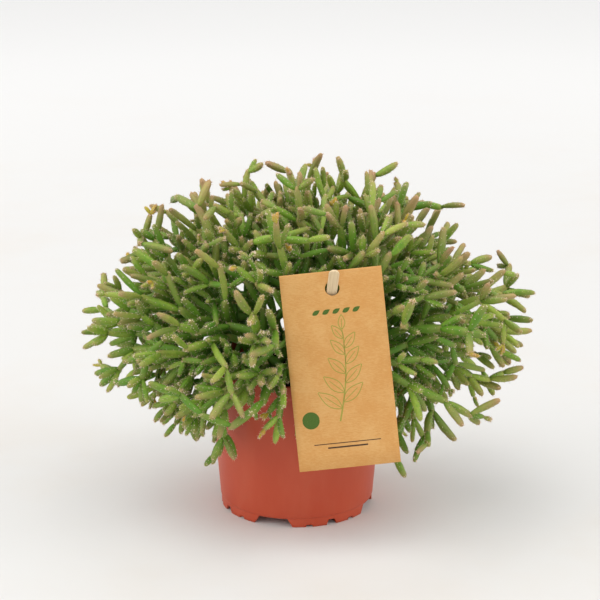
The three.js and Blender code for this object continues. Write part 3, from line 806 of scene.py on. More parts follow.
def axis_distance(a: Array, b: Array, c: Array, d: Array) -> Array:
    """The least distance between the straight axis a-b and each of the axes c-d.

    The nearest place on a-b comes from the two lines, is held to its ends, and is found again from
    that end wherever the nearest place on c-d falls outside it.
    """
    u, v, w = b - a, d - c, a - c
    uu, vv, uv, uw, vw = dot(u, u), dot(v, v), dot(u, v), dot(u, w), dot(v, w)
    spread = uu * vv - uv * uv
    apart = np.where(spread > 1e-9, spread, 1)
    s = np.where(spread > 1e-9, np.clip((uv * vw - uw * vv) / apart, 0, 1), 0)
    t = (uv * s + vw) / vv
    s = np.where(t < 0, np.clip(-uw / uu, 0, 1), np.where(t > 1, np.clip((uv - uw) / uu, 0, 1), s))
    t = np.clip(t, 0, 1)
    return size((a + u * s[..., None]) - (c + v * t[..., None]))


class Dice:
    """Seeded random numbers from 0 to 1."""

    def __init__(self, seed: int) -> None:
        """Starts the row of numbers."""
        self.state = seed

    def roll(self) -> float:
        """The next number."""
        self.state = (self.state * 16807) % 2147483647
        return self.state / 2147483647

    def rolls(self, rows: int, columns: int) -> Array:
        """The next numbers, row by row."""
        return np.array([self.roll() for _ in range(rows * columns)]).reshape(rows, columns)


def between(ends: Range, share: float | Array) -> float | Array:
    """The value at a share of the way from the first end to the second."""
    return ends[0] + (ends[1] - ends[0]) * share


@dataclass(frozen=True)
class Order:
    """Joints of one rank from the root: length range, radius, and how many stand on each tip."""

    length: Range
    radius: float
    children: int


@dataclass(frozen=True)
class Twigs:
    """One growth of short twigs: its rounds, their sizes in mm, and the room that they keep.

    A sibling's direction, and the side that it leans to, differ at least by the angles that have the
    two cosines in siblings. Tips end at least apart from each other. A tip bears its family and more,
    and one in every so many takes part. Only those in front, over the rim, do so where a height, a
    distance from the pot's middle and a Y are given that they must be within.
    """

    rounds: int
    length: Range
    deep_length: Range
    radius: Range
    clearance: float
    siblings: Range
    apart: float
    more: int = 0
    every: int = 1
    over_rim: Trio | None = None
    tries: int = 48


def turn_over(lean: float, roll: float) -> Array:
    """The turn about Y by roll and then about X by lean, in degrees."""
    a, b = math.radians(lean), math.radians(roll)
    about_x = np.array([[1, 0, 0], [0, math.cos(a), -math.sin(a)], [0, math.sin(a), math.cos(a)]])
    about_y = np.array([[math.cos(b), 0, math.sin(b)], [0, 1, 0], [-math.sin(b), 0, math.cos(b)]])
    return about_x @ about_y


@dataclass
class HangTag:
    """Where the card and its stick are: sizes in mm and leans in degrees."""

    width: float = 61
    height: float = 118.6
    thickness: float = 0.8
    centre: Place = (26.1, -75.9, 113.4)
    lean: float = 10.08
    roll: float = 5.99
    # The hole's place across and up from the card's middle, and its radius
    hole: Trio = (0.2, 48.8, 4.3)
    stick_width: float = 6.4
    stick_thickness: float = 1.6
    stick_above: float = 13.5
    stick_below: float = 112
    stick_lean: float = 22
    stick_roll: float = 5.6

    def __post_init__(self) -> None:
        """Works out the card's axes and the stick's line."""
        self.turn = turn_over(-self.lean, -self.roll)
        self.axes = np.array([self.turn[:, 0], -self.turn[:, 1], self.turn[:, 2]])
        self.stick_turn = turn_over(self.stick_lean, self.stick_roll)
        direction = self.stick_turn[:, 2]
        hole = np.array(self.centre) + self.axes[0] * self.hole[0] + self.axes[2] * self.hole[1]
        self.foot = hole + direction * -self.stick_below
        self.tip = hole + direction * self.stick_above


@dataclass
class Mound:
    """The room that the branches may fill, in mm: the mound's reach, and what they keep clear of."""

    pot: NurseryPot
    tag: HangTag
    soil_top: float = 87
    heart: Place = (0, 0, 105)
    # Reach from the heart, by the sine of the elevation that a place is seen at from there
    reach: Steps = ((-1, 112), (-0.8, 120), (-0.5, 122), (-0.25, 136),
                    (0.05, 159), (0.35, 155), (0.7, 138), (1, 129))
    # How much further it reaches on the right, and how much less in front and behind
    lopsided: float = 0.045
    flattened: float = 0.18
    # How low tips may hang: at the sides, in front and behind
    hang: Trio = (10, 64, 40)
    # How steeply the sight of the card rises in front of it
    sight_slope: float = 0.46
    # Room kept above, beside, inside and over the pot's wall, and from the card
    pot_margin: Row = (1, 1.2, 1, 1.5)
    card_margin: float = 2
    # The dense part: its share of the reach, less at the sides, and its slanting underside
    dense: Range = (0.845, 0.01)
    under: Row = (12, 78, 0.85, 0.3)
    # A gap beside the card that shows the older joints: its ends and radius
    hollow: tuple[Place, Place, float] = ((-20, -45, 126), (-44, -112, 172), 19)

    def from_heart(self, point: Array) -> Array:
        """The way from the heart to a place."""
        return point - np.array(self.heart)

    def reach_towards(self, offset: Array) -> Array:
        """The reach in a direction: from the table, more to the right and less to the front and back."""
        far = size(offset)
        across, deep, steep = (offset[..., part] / far for part in range(3))
        sines, reaches = (np.array(column, float) for column in zip(*self.reach))
        place = np.clip(np.searchsorted(sines, steep), 1, len(sines) - 1)
        low, near, high, wide = sines[place - 1], reaches[place - 1], sines[place], reaches[place]
        reach = near + (wide - near) * (steep - low) / (high - low)
        return reach * (1 + self.lopsided * across) * (1 - self.flattened * deep * deep)

    def lowest(self, point: Array) -> Array:
        """The lowest that a tip may hang there: least at the sides, and higher before and behind the pot."""
        x, y = point[..., 0], point[..., 1]
        deep = y / np.maximum(np.sqrt(x * x + y * y), 1)
        side, front, back = self.hang
        return side + (np.where(deep < 0, front, back) - side) * deep * deep

    def dense_reach(self, offset: Array) -> Array:
        """The reach of the dense part in a direction."""
        most, less = self.dense
        across = offset[..., 0] / size(offset)
        return self.reach_towards(offset) * (most - less * across * across)

    def underside(self, point: Array) -> Array:
        """The dense part's lowest place there: it rises outwards at the sides, more steeply on the left."""
        x, y = point[..., 0], point[..., 1]
        out = np.maximum(np.sqrt(x * x + y * y), 1)
        base, first, slope, tilt = self.under
        across = x / out
        rise = base + np.maximum(out - first, 0) * (slope - tilt * across) * across * across
        return np.maximum(self.lowest(point), rise)

    def in_hollow(self, point: Array) -> Array:
        """Whether a place is within the gap beside the card."""
        first, last, radius = self.hollow
        low, way = np.array(first, float), np.array(last, float) - np.array(first, float)
        share = np.clip(dot(point - low, way) / dot(way, way), 0, 1)
        return size(point - low - share[..., None] * way) < radius

    def clear_of_pot(self, point: Array, radius: float) -> Array:
        """Whether a joint's axis there misses the pot and the peat."""
        x, y, z = point[..., 0], point[..., 1], point[..., 2]
        above, beside, within, over = self.pot_margin
        out = np.sqrt(x * x + y * y)
        inside = out < self.pot.wall_radius(self.soil_top) - self.pot.wall - radius - within
        return ((z > self.pot.height + radius + above) | (out > self.pot.lip_radius + radius + beside)
                | inside & (z > self.soil_top + radius + over))

    def clear_of_card(self, point: Array, radius: float) -> Array:
        """Whether a joint's axis there misses the card and the sight of it from the front."""
        offset = point - np.array(self.tag.centre)
        across, out, up = (dot(offset, axis) for axis in self.tag.axes)
        margin = radius + self.card_margin
        high = self.tag.height / 2 + margin
        return ((np.abs(across) > self.tag.width / 2 + margin) | (up < -high)
                | (up > high + self.sight_slope * np.maximum(out, 0)) | (out < -margin))

    def goals(self, shells: Sequence[tuple[float, int]], margin: float) -> Array:
        """Places spread evenly over shells of the mound, as on a sunflower's head, where a tip may be.

        Args:
            shells: Shares of the reach, and how many places each has before the shut-out ones go.
            margin: How far each keeps from what the branches keep clear of.

        Returns:
            One place a row.
        """
        kept = []
        for depth, count in shells:
            i = np.arange(count)
            steep = 1 - 2 * (i + 0.5) / count
            flat = np.sqrt(1 - steep * steep)
            turn = GOLDEN_ANGLE * i
            direction = np.stack([flat * np.cos(turn), flat * np.sin(turn), steep], axis=-1)
            goal = np.array(self.heart) + direction * (depth * self.reach_towards(direction))[:, None]
            kept.append(goal[(goal[:, 2] > self.lowest(goal) + margin) & self.clear_of_pot(goal, margin)
                             & self.clear_of_card(goal, margin)])
        return np.concatenate(kept)


@dataclass(frozen=True)
class Droop:
    """How twigs beside the pot tend downwards: by how much at most, and where, in mm."""

    most: float = 0.75
    # Below this height, and fully so much lower
    below: float = 130
    over: float = 40
    # From this far out until that far out, fading over the last part
    first: float = 50
    until: float = 155
    fade: float = 50

    def pull(self, tip: Array) -> float:
        """How much the twigs on a tip tend downwards."""
        out = math.sqrt(tip[0] * tip[0] + tip[1] * tip[1])
        beside = self.most * np.clip((self.until - out) / self.fade, 0, 1) if out >= self.first else 0
        return float(beside * np.clip((self.below - tip[2]) / self.over, 0, 1))


@dataclass
class Branching:
    """Every joint of every cutting, grown by a seeded rule, in mm.

    The frame of main joints and the first growth of twigs are those of the solids. The later growths
    and the buds are smaller, fill in and hang over the rim.
    """

    mound: Mound
    seed: int = 61
    tries: int = 60
    clearance: float = 0.9
    # The cosines of a joint's turn from its parent, and those that its siblings keep to, as for twigs
    turn_range: Range = (0.34, 0.97)
    siblings: Range = (0.74, 0.3)
    # Past this share of the reach a joint points outwards at least this much
    outer: Range = (0.68, 0.4)
    # Goals: the cosine to a joint from which one is taken, how near a tip comes to one that it has
    # reached, and the room that goals keep
    goal_taken: float = 0.74
    goal_reached: float = 14
    goal_margin: float = 3
    # The furthest that a tip's goal may be, and a tip's fair load as a multiple of an even one
    furthest: float = 200
    fair_load: float = 1.4
    # A goal's distance counts times this less the cosine of the turn to it. Then how much chance counts
    # in choosing a joint
    detour: float = 1.5
    wander: float = 0.25
    # A joint's foot in the tip that bears it, in the tip's radii: how far back and how far aside
    seat: Range = (0.3, 0.42)
    # Room that main joints and twigs keep from the stick
    stick_margin: Range = (1.5, 1)
    root_depth: float = 24
    # Goals for the main joints: shares of the reach, and how many places each has
    shells: Steps = ((0.95, 116), (0.72, 14))
    # Rooted joints: how many stand in a ring, its radius, and its turn in degrees
    rings: tuple[Trio, ...] = ((1, 0, 0), (4, 20, 20), (8, 41, 1))
    orders: tuple[Order, ...] = (
        Order((30, 36), 2.8, 3), Order((28, 38), 2.8, 3), Order((26, 36), 2.7, 2), Order((21, 30), 2.6, 2),
        Order((18, 26), 2.5, 2), Order((15, 23), 2.4, 2), Order((13, 20), 2.3, 2))
    growths: tuple[Twigs, ...] = (
        Twigs(6, (11.5, 22.5), (17, 28), (1.9, 2.5), 0.7, (0.74, 0.3), 6.5),
        Twigs(1, (8.5, 16), (12, 20), (1.75, 2.3), 0.15, (0.8, 2), 5.5, more=1),
        Twigs(3, (9, 15), (9, 15), (1.75, 2.2), 0.15, (0.8, 2), 5.5, more=2, over_rim=(122, 95, -25)),
        Twigs(1, (6, 11), (8, 14), (1.6, 2.1), 0.1, (0.85, 2), 4.4, more=2, every=8))
    # Below this share of the reach twigs have their deep length
    deep_share: float = 0.6
    # The cosines of a twig's turn from its parent, and how much chance adds to its direction
    twig_turn: Range = (0.3, 0.95)
    twig_chance: Range = (0.45, 1.25)
    # How much of a twig's direction is its parent's heading and how much the way out
    twig_lead: Range = (0.75, 0.45)
    # A twig's worth: how far apart is enough, and the shares of pointing outwards and of luck
    twig_worth: Trio = (13, 0.4, 0.35)
    # How near a joint's tip has to be for a twig to be tested against it
    nearby: float = 60
    droop: Droop = Droop()
    # How far out a joint's twigs may end, as a share of the dense part's reach, the draws above which
    # it bears a second and a third, and the share of the whole reach that no twig passes
    spread_range: Range = (0.83, 1.19)
    family_odds: Range = (0.2, 0.55)
    furthest_share: float = 0.985
    # Small young buds: on which share of the bare tips past which share of the reach, and how they stand
    bud_seed: int = 5
    bud_share: float = 0.07
    bud_outer: float = 0.7
    bud_lead: float = 1.1
    bud_seat: float = 0.3
    bud_length: Range = (3.5, 7)
    bud_radius: Range = (1.0, 1.5)
    room: int = 2600

    def __post_init__(self) -> None:
        """Lays out the joints' arrays."""
        self.dice = Dice(self.seed)
        self.count = 0
        self.start, self.end, self.direction, self.aside = np.zeros((4, self.room, 3))
        self.radius, self.spread = np.zeros((2, self.room))
        self.order, self.stem, self.family = np.zeros((3, self.room), int)
        self.parent = np.full(self.room, -1)

    def _add(self, parent: int, start: Array, end: Array, radius: float,
             direction: Array, aside: Array) -> None:
        """Adds one joint, on a parent or, for -1, as the root of a new cutting."""
        i = self.count
        self.start[i], self.end[i], self.radius[i] = start, end, radius
        self.direction[i], self.aside[i], self.parent[i] = direction, aside, parent
        self.order[i] = 0 if parent < 0 else self.order[parent] + 1
        self.stem[i] = i if parent < 0 else self.stem[parent]
        self.count += 1

    def headings(self) -> Array:
        """The direction of each joint."""
        return unit(self.end[:self.count] - self.start[:self.count])

    def _root(self) -> None:
        """Stands the rooted joints in their rings."""
        up, first = np.array([0.0, 0.0, 1.0]), self.orders[0]
        for count, ring, turn in self.rings:
            for i in range(count):
                angle = math.radians(turn) + i * 2 * math.pi / count
                start = np.array([ring * math.cos(angle), ring * math.sin(angle),
                                  self.mound.soil_top - self.root_depth])
                end = start + up * between(first.length, self.dice.roll())
                self._add(-1, start, end, first.radius, up, 0 * up)

    def _seated(self, parent: int, direction: Array, reach: float | Array) -> tuple[Array, ...]:
        """Foot, end and leaning side of joints on a tip. The foot is a little back and aside in the tip."""
        tip = self.end[parent]
        heading = unit(tip - self.start[parent])
        aside = unit(direction + heading * -dot(direction, heading)[..., None])
        back, over = self.seat
        foot = (tip + heading * (-back * self.radius[parent])) + aside * (over * self.radius[parent])
        return foot, tip + direction * reach, aside

    def _crowds(self, parent: int, direction: Array, aside: Array, limits: Range) -> Array:
        """Whether directions on a tip are too near those of the joints on it, or lean to the same side."""
        kin = np.flatnonzero(self.parent[:self.count] == parent)
        turns = dot(direction[..., None, :], self.direction[kin])
        leans = dot(aside[..., None, :], self.aside[kin])
        return np.any((turns > limits[0]) | (leans > limits[1]), axis=-1)

    def _is_clear(self, parent: int, start: Array, end: Array, radius: float,
                  near: Array, margins: Range) -> bool:
        """Whether a joint misses pot and card, and keeps two margins: from the stick and from joints."""
        mound, tag = self.mound, self.mound.tag
        points = start + (end - start) * np.array([0.2, 0.4, 0.6, 0.8, 1])[:, None]
        if not np.all(mound.clear_of_pot(points, radius) & mound.clear_of_card(points, radius)):
            return False
        if axis_distance(start, end, tag.foot, tag.tip) < radius + tag.stick_width / 2 + margins[0]:
            return False
        others = near[(near != parent) & (self.parent[near] != parent)]
        gaps = axis_distance(start, end, self.start[others], self.end[others])
        return bool(np.all(gaps > radius + self.radius[others] + margins[1]))

    def _try(self, parent: int, kind: Order, wanted: Array) -> None:
        """Adds the best of some tries at one joint on a parent's tip, if any fits.

        A try turns a random amount from its parent's heading, and points outwards near the mound's
        surface. The best brings the goals that it is wanted for nearest, with a little chance added.
        """
        mound, dice, radius = self.mound, self.dice, kind.radius
        tip, heading = self.end[parent], unit(self.end[parent] - self.start[parent])
        before = size(wanted - tip)
        best = None
        for _ in range(self.tries):
            aim = np.array([2 * dice.roll() - 1, 2 * dice.roll() - 1, 2 * dice.roll() - 1])
            reach = between(kind.length, dice.roll())
            if not 0.01 <= dot(aim, aim) <= 1:
                continue
            direction = unit(heading + unit(aim))
            if not self.turn_range[0] <= dot(direction, heading) <= self.turn_range[1]:
                continue
            start, end, aside = self._seated(parent, direction, reach)
            if self._crowds(parent, direction, aside, self.siblings):
                continue
            offset = mound.from_heart(end)
            far, most = size(offset), mound.reach_towards(offset)
            if far + radius > most or end[2] - radius < mound.lowest(end):
                continue
            if far > self.outer[0] * most and dot(direction, unit(offset)) < self.outer[1]:
                continue
            if not self._is_clear(parent, start, end, radius, np.arange(self.count),
                                  (self.stick_margin[0], self.clearance)):
                continue
            score = self.wander * dice.roll()
            for goal, distance in zip(wanted, before):
                score += (distance - size(goal - end)) / (distance * len(wanted))
            if best is None or score > best[0]:
                best = (score, start, end, radius, direction, aside)
        if best is not None:
            self._add(parent, *best[1:])

    def _detours(self, goals: Array, tips: Array) -> Array:
        """How far each goal is from each tip, counted longer the more the tip would have to turn."""
        way = goals[:, None, :] - self.end[tips][None]
        far = size(way)
        heading = unit(self.end[tips] - self.start[tips])
        return far * (self.detour - dot(way, heading[None]) / far)

    def _deal_out(self, goals: Array, tips: Array) -> dict[int, list[int]]:
        """Lets the rooted joints take turns, each at the goal that is best placed for it."""
        shares: dict[int, list[int]] = {int(tip): [] for tip in tips}
        costs = self._detours(goals, tips)
        left = list(range(len(goals)))
        while left:
            place = (len(goals) - len(left)) % len(tips)
            chosen = left.pop(int(np.argmin(costs[left, place])))
            shares[int(tips[place])].append(chosen)
        return shares

    def _share_out(self, goals: Array, tips: Array) -> dict[int, list[int]]:
        """Gives each goal that no tip has reached to the nearest and best aimed tip with a fair load."""
        shares: dict[int, list[int]] = {int(tip): [] for tip in tips}
        open_goals = [i for i, goal in enumerate(goals)
                      if np.all(size(goal - self.end[:self.count]) > self.goal_reached)]
        load = math.ceil(self.fair_load * len(open_goals) / len(tips))
        costs = self._detours(goals, tips)
        loads = np.zeros(len(tips), int)
        for i in open_goals:
            row = np.where(loads < load, costs[i], np.inf)
            place = int(np.argmin(row))
            if row[place] < self.furthest:
                shares[int(tips[place])].append(i)
                loads[place] += 1
        return shares

    def _still_wanted(self, goals: Array, parent: int) -> Array:
        """The goals of a parent that none of its joints points at yet."""
        kin = np.flatnonzero(self.parent[:self.count] == parent)
        if not len(goals) or not len(kin):
            return goals
        ways = unit(goals - self.end[parent])
        headings = unit(self.end[kin] - self.start[kin])
        return goals[np.all(dot(ways[:, None], headings[None]) < self.goal_taken, axis=1)]

    def _grow_frame(self) -> None:
        """Grows the main joints, one order at a time over all the cuttings."""
        goals = self.mound.goals(self.shells, self.goal_margin)
        self._root()
        for order in range(1, len(self.orders)):
            tips = np.flatnonzero(self.order[:self.count] == order - 1)
            shares = self._deal_out(goals, tips) if order == 1 else self._share_out(goals, tips)
            for _ in range(self.orders[order - 1].children):
                for tip in tips:
                    wanted = self._still_wanted(goals[shares[int(tip)]], int(tip))
                    if len(wanted):
                        self._try(int(tip), self.orders[order], wanted)

    def _lead(self, parent: int) -> Array:
        """Where a tip's twigs tend to: its heading, the way out from the heart, and down beside the pot."""
        tip = self.end[parent]
        down = np.array([0, 0, -self.droop.pull(tip)])
        heading, outward = unit(tip - self.start[parent]), unit(self.mound.from_heart(tip))
        return (down + heading * self.twig_lead[0]) + outward * self.twig_lead[1]

    def _twig(self, parent: int, kind: Twigs) -> bool:
        """Adds the best of some twigs on a tip, and says whether one fitted.

        A twig's direction is where the tip tends to, plus chance. Twigs that would leave the dense
        part, touch something or crowd a sibling are out. The best ends furthest from every other tip,
        up to what is enough, points most outwards, and has luck.
        """
        mound, n, tip = self.mound, self.count, self.end[parent]
        heading, way = unit(tip - self.start[parent]), mound.from_heart(tip)
        deep = size(way) < self.deep_share * mound.reach_towards(way)
        radius = between(kind.radius, self.dice.roll())
        rolls = self.dice.rolls(kind.tries, 6)
        chance = between(self.twig_chance, rolls[:, 3])
        reach = between(kind.deep_length if deep else kind.length, rolls[:, 4])
        direction = unit(self._lead(parent) + unit(2 * rolls[:, :3] - 1) * chance[:, None])
        start, end, aside = self._seated(parent, direction, reach[:, None])
        turn, offset = dot(direction, heading), mound.from_heart(end)
        limit = np.minimum(self.spread[parent] * mound.dense_reach(offset),
                           self.furthest_share * mound.reach_towards(offset))
        near = np.flatnonzero(size(self.end[:n] - tip) < self.nearby)
        enough, outwards, luck = self.twig_worth
        apart = np.minimum(size(end[:, None] - self.end[near]).min(axis=1), enough)
        good = ((turn >= self.twig_turn[0]) & (turn <= self.twig_turn[1])
                & (size(offset) + radius <= limit) & (end[:, 2] - radius >= mound.underside(end))
                & ~self._crowds(parent, direction, aside, kind.siblings)
                & ~mound.in_hollow(end) & (apart >= kind.apart))
        worth = apart / enough + outwards * dot(direction, unit(offset)) + luck * rolls[:, 5]
        fitting = np.flatnonzero(good)
        for i in fitting[np.argsort(-worth[fitting], kind="stable")]:
            if self._is_clear(parent, start[i], end[i], radius, near, (self.stick_margin[1], kind.clearance)):
                self._add(parent, start[i], end[i], radius, direction[i], aside[i])
                return True
        return False

    def _endow(self, joint: int) -> None:
        """Draws how far out a joint's twigs may end and how many joints it may bear."""
        roll = self.dice.roll()
        self.spread[joint] = between(self.spread_range, roll * roll)
        lot = self.dice.roll()
        self.family[joint] = 1 + sum(lot > odds for odds in self.family_odds)

    def _grow_twigs(self, kind: Twigs) -> None:
        """Lets every tip that may bear more try to bear one more twig, round after round."""
        for _ in range(kind.rounds):
            parents = self.parent[:self.count]
            children = np.bincount(parents[parents >= 0], minlength=self.count)
            willing = children < self.family[:self.count] + kind.more
            if kind.over_rim:
                height, distance, front = kind.over_rim
                x, y, z = self.end[:self.count].T
                willing &= (z < height) & (np.hypot(x, y) < distance) & (y < front)
            for tip in np.flatnonzero(willing)[::kind.every]:
                if self._twig(int(tip), kind):
                    self._endow(self.count - 1)
        LOG.info("joints: %d", self.count)

    def _grow_buds(self) -> None:
        """Sets two or three buds on some of the outer tips that bear nothing yet."""
        n, rng = self.count, np.random.default_rng(self.bud_seed)
        bare = np.setdiff1d(np.arange(n), self.parent[:n])
        offset = self.mound.from_heart(self.end[bare])
        outer = bare[size(offset) > self.bud_outer * self.mound.reach_towards(offset)]
        for tip in rng.choice(outer, int(self.bud_share * len(outer)), replace=False):
            heading = unit(self.end[tip] - self.start[tip])
            for _ in range(rng.integers(2, 4)):
                direction = unit(heading * self.bud_lead + unit(rng.normal(0, 1, 3)))
                foot = self.end[tip] + heading * self.bud_seat * self.radius[tip]
                self._add(int(tip), foot, foot + direction * rng.uniform(*self.bud_length),
                          rng.uniform(*self.bud_radius), direction, 0 * direction)

    def grow(self) -> "Branching":
        """Grows everything."""
        self._grow_frame()
        LOG.info("frame joints: %d", self.count)
        for joint in range(self.count):
            self._endow(joint)
        for kind in self.growths:
            self._grow_twigs(kind)
        self._grow_buds()
        LOG.info("all joints: %d", self.count)
        return self


# Cuttings


@dataclass
class JointSkin:
    """The joints' shape in mm: a slim four-angled spindle, narrow at its foot and round at its tip."""

    sides: int = 8
    ridge: float = 0.10
    fuller: float = 1.0
    # The girth: shares of the length, and of the radius there
    girth: Steps = ((0, 0.42), (0.08, 0.62), (0.25, 0.86), (0.5, 1.0), (0.76, 0.95), (1, 0.74))
    # The rings of points: each at a share of the length plus so many radii
    ring_shares: Row = (0, 0.09, 0.27, 0.55, 1, 1, 1)
    ring_steps: Row = (0, 0, 0, 0, -0.75, -0.05, 0.36)
    # The round tip, in radii: how long it is, and how far past the length it ends
    cap: float = 1.35
    beyond: float = 0.6
    # How joints differ: in girth, in how far they turn from foot to tip, and in how far they bow
    stoutness: Range = (0.92, 1.06)
    spiral: float = 0.5
    bow: float = 0.05
    least_bow: float = 0.2
    ridges: int = 4
    # Tufts: how many along each ridge, how far up each step they are and how much further on every
    # other ridge, between which shares of the length, and how far they stray
    levels: int = 4
    stagger: Range = (0.4, 0.5)
    tufted: Range = (0.1, 0.96)
    tuft_stray: float = 0.3
    # Tufts round the tip: how many, and how far past the length in radii
    crown: int = 7
    crowned: Range = (-0.25, 0.52)
    # Half the width of the tufts on the ridges and round the tip, and how joints and tufts differ in it
    wool: Range = (0.38, 0.55)
    woolliness: Range = (0.45, 1.2)
    unevenness: Range = (0.7, 1.3)
    # Share of a tuft's stand that leans to the tip, and what the leaning and upright shares add up to
    tuft_lean: Range = (0.1, 1)
    tuft_stand: float = 1.05
    # A tuft's height and what it gains for each mm of its half width, and how deep it sits
    tuft_height: Range = (0.2, 0.6)
    tuft_depth: float = 0.12
    bristle_length: Range = (0.8, 1.9)
    bristle_radius: float = 0.12
    bristle_depth: float = 0.05
    # How bristles lean towards the tip, and how far they stray
    bristle_lean: float = 0.45
    bristle_stray: float = 0.4
    seed: int = 12

    @property
    def tufts(self) -> int:
        """How many tufts a joint has."""
        return self.ridges * self.levels + self.crown

    def frame_axes(self, heading: Array) -> Pair:
        """Two directions square to each heading."""
        helper = np.where(np.abs(heading[:, 2:3]) < 0.9, [[0.0, 0.0, 1.0]], [[1.0, 0.0, 0.0]])
        across = unit(np.cross(heading, helper))
        return across, np.cross(heading, across)

    def share(self, along: Array, length: Array, radius: Array) -> Array:
        """The share of the radius at a distance along: from the table, and rounded off like a ball's."""
        places, shares = zip(*self.girth)
        left = (length + self.beyond * radius - along) / (self.cap * radius)
        ball = np.sqrt(np.clip(1 - (1 - np.clip(left, 0, 1)) ** 2, 0, 1))
        return np.interp(along / length, places, shares) * ball

    def rings(self, length: Array, radius: Array) -> Array:
        """Distances along each joint that have a ring of points."""
        return np.outer(length, self.ring_shares) + np.outer(radius, self.ring_steps)


@dataclass(frozen=True)
class WeatheringAndShade:
    """How the joints' colours differ: by family, by how exposed and how high they are, and by chance, with
    painted shade on the joints deep inside the mound.
    """

    # Share of a joint's tint that comes from the joint that bears it
    inherited: float = 0.6
    # The least tint, and what family and chance add to it, before the painted shade inside
    tint: Trio = (0.14, 0.75, 0.2)
    # Painted shade: the share of the tint that joints deep inside the mound keep, and the exposures between
    # which it rises to all of it
    inside: Trio = (0.3, 0.4, 0.8)
    # Exposure from which joints bronze, the least bronze, and the gains outwards, upwards and rightwards
    outer: float = 0.6
    bronze: Row = (0.08, 0.12, 0.30, 0.18)
    heights: Range = (90, 200)
    breadth: float = 120
    bearing: float = 0.75
    # Besides the buds, this share of the joints below that length is young and yellow, at most by so much
    young_share: float = 0.02
    young_length: float = 11
    youngest: float = 0.85
    # Exposure from which joints keep their wool, and how far its rust strays from the joint's bronze
    woolly: float = 0.5
    rust_spread: float = 0.25


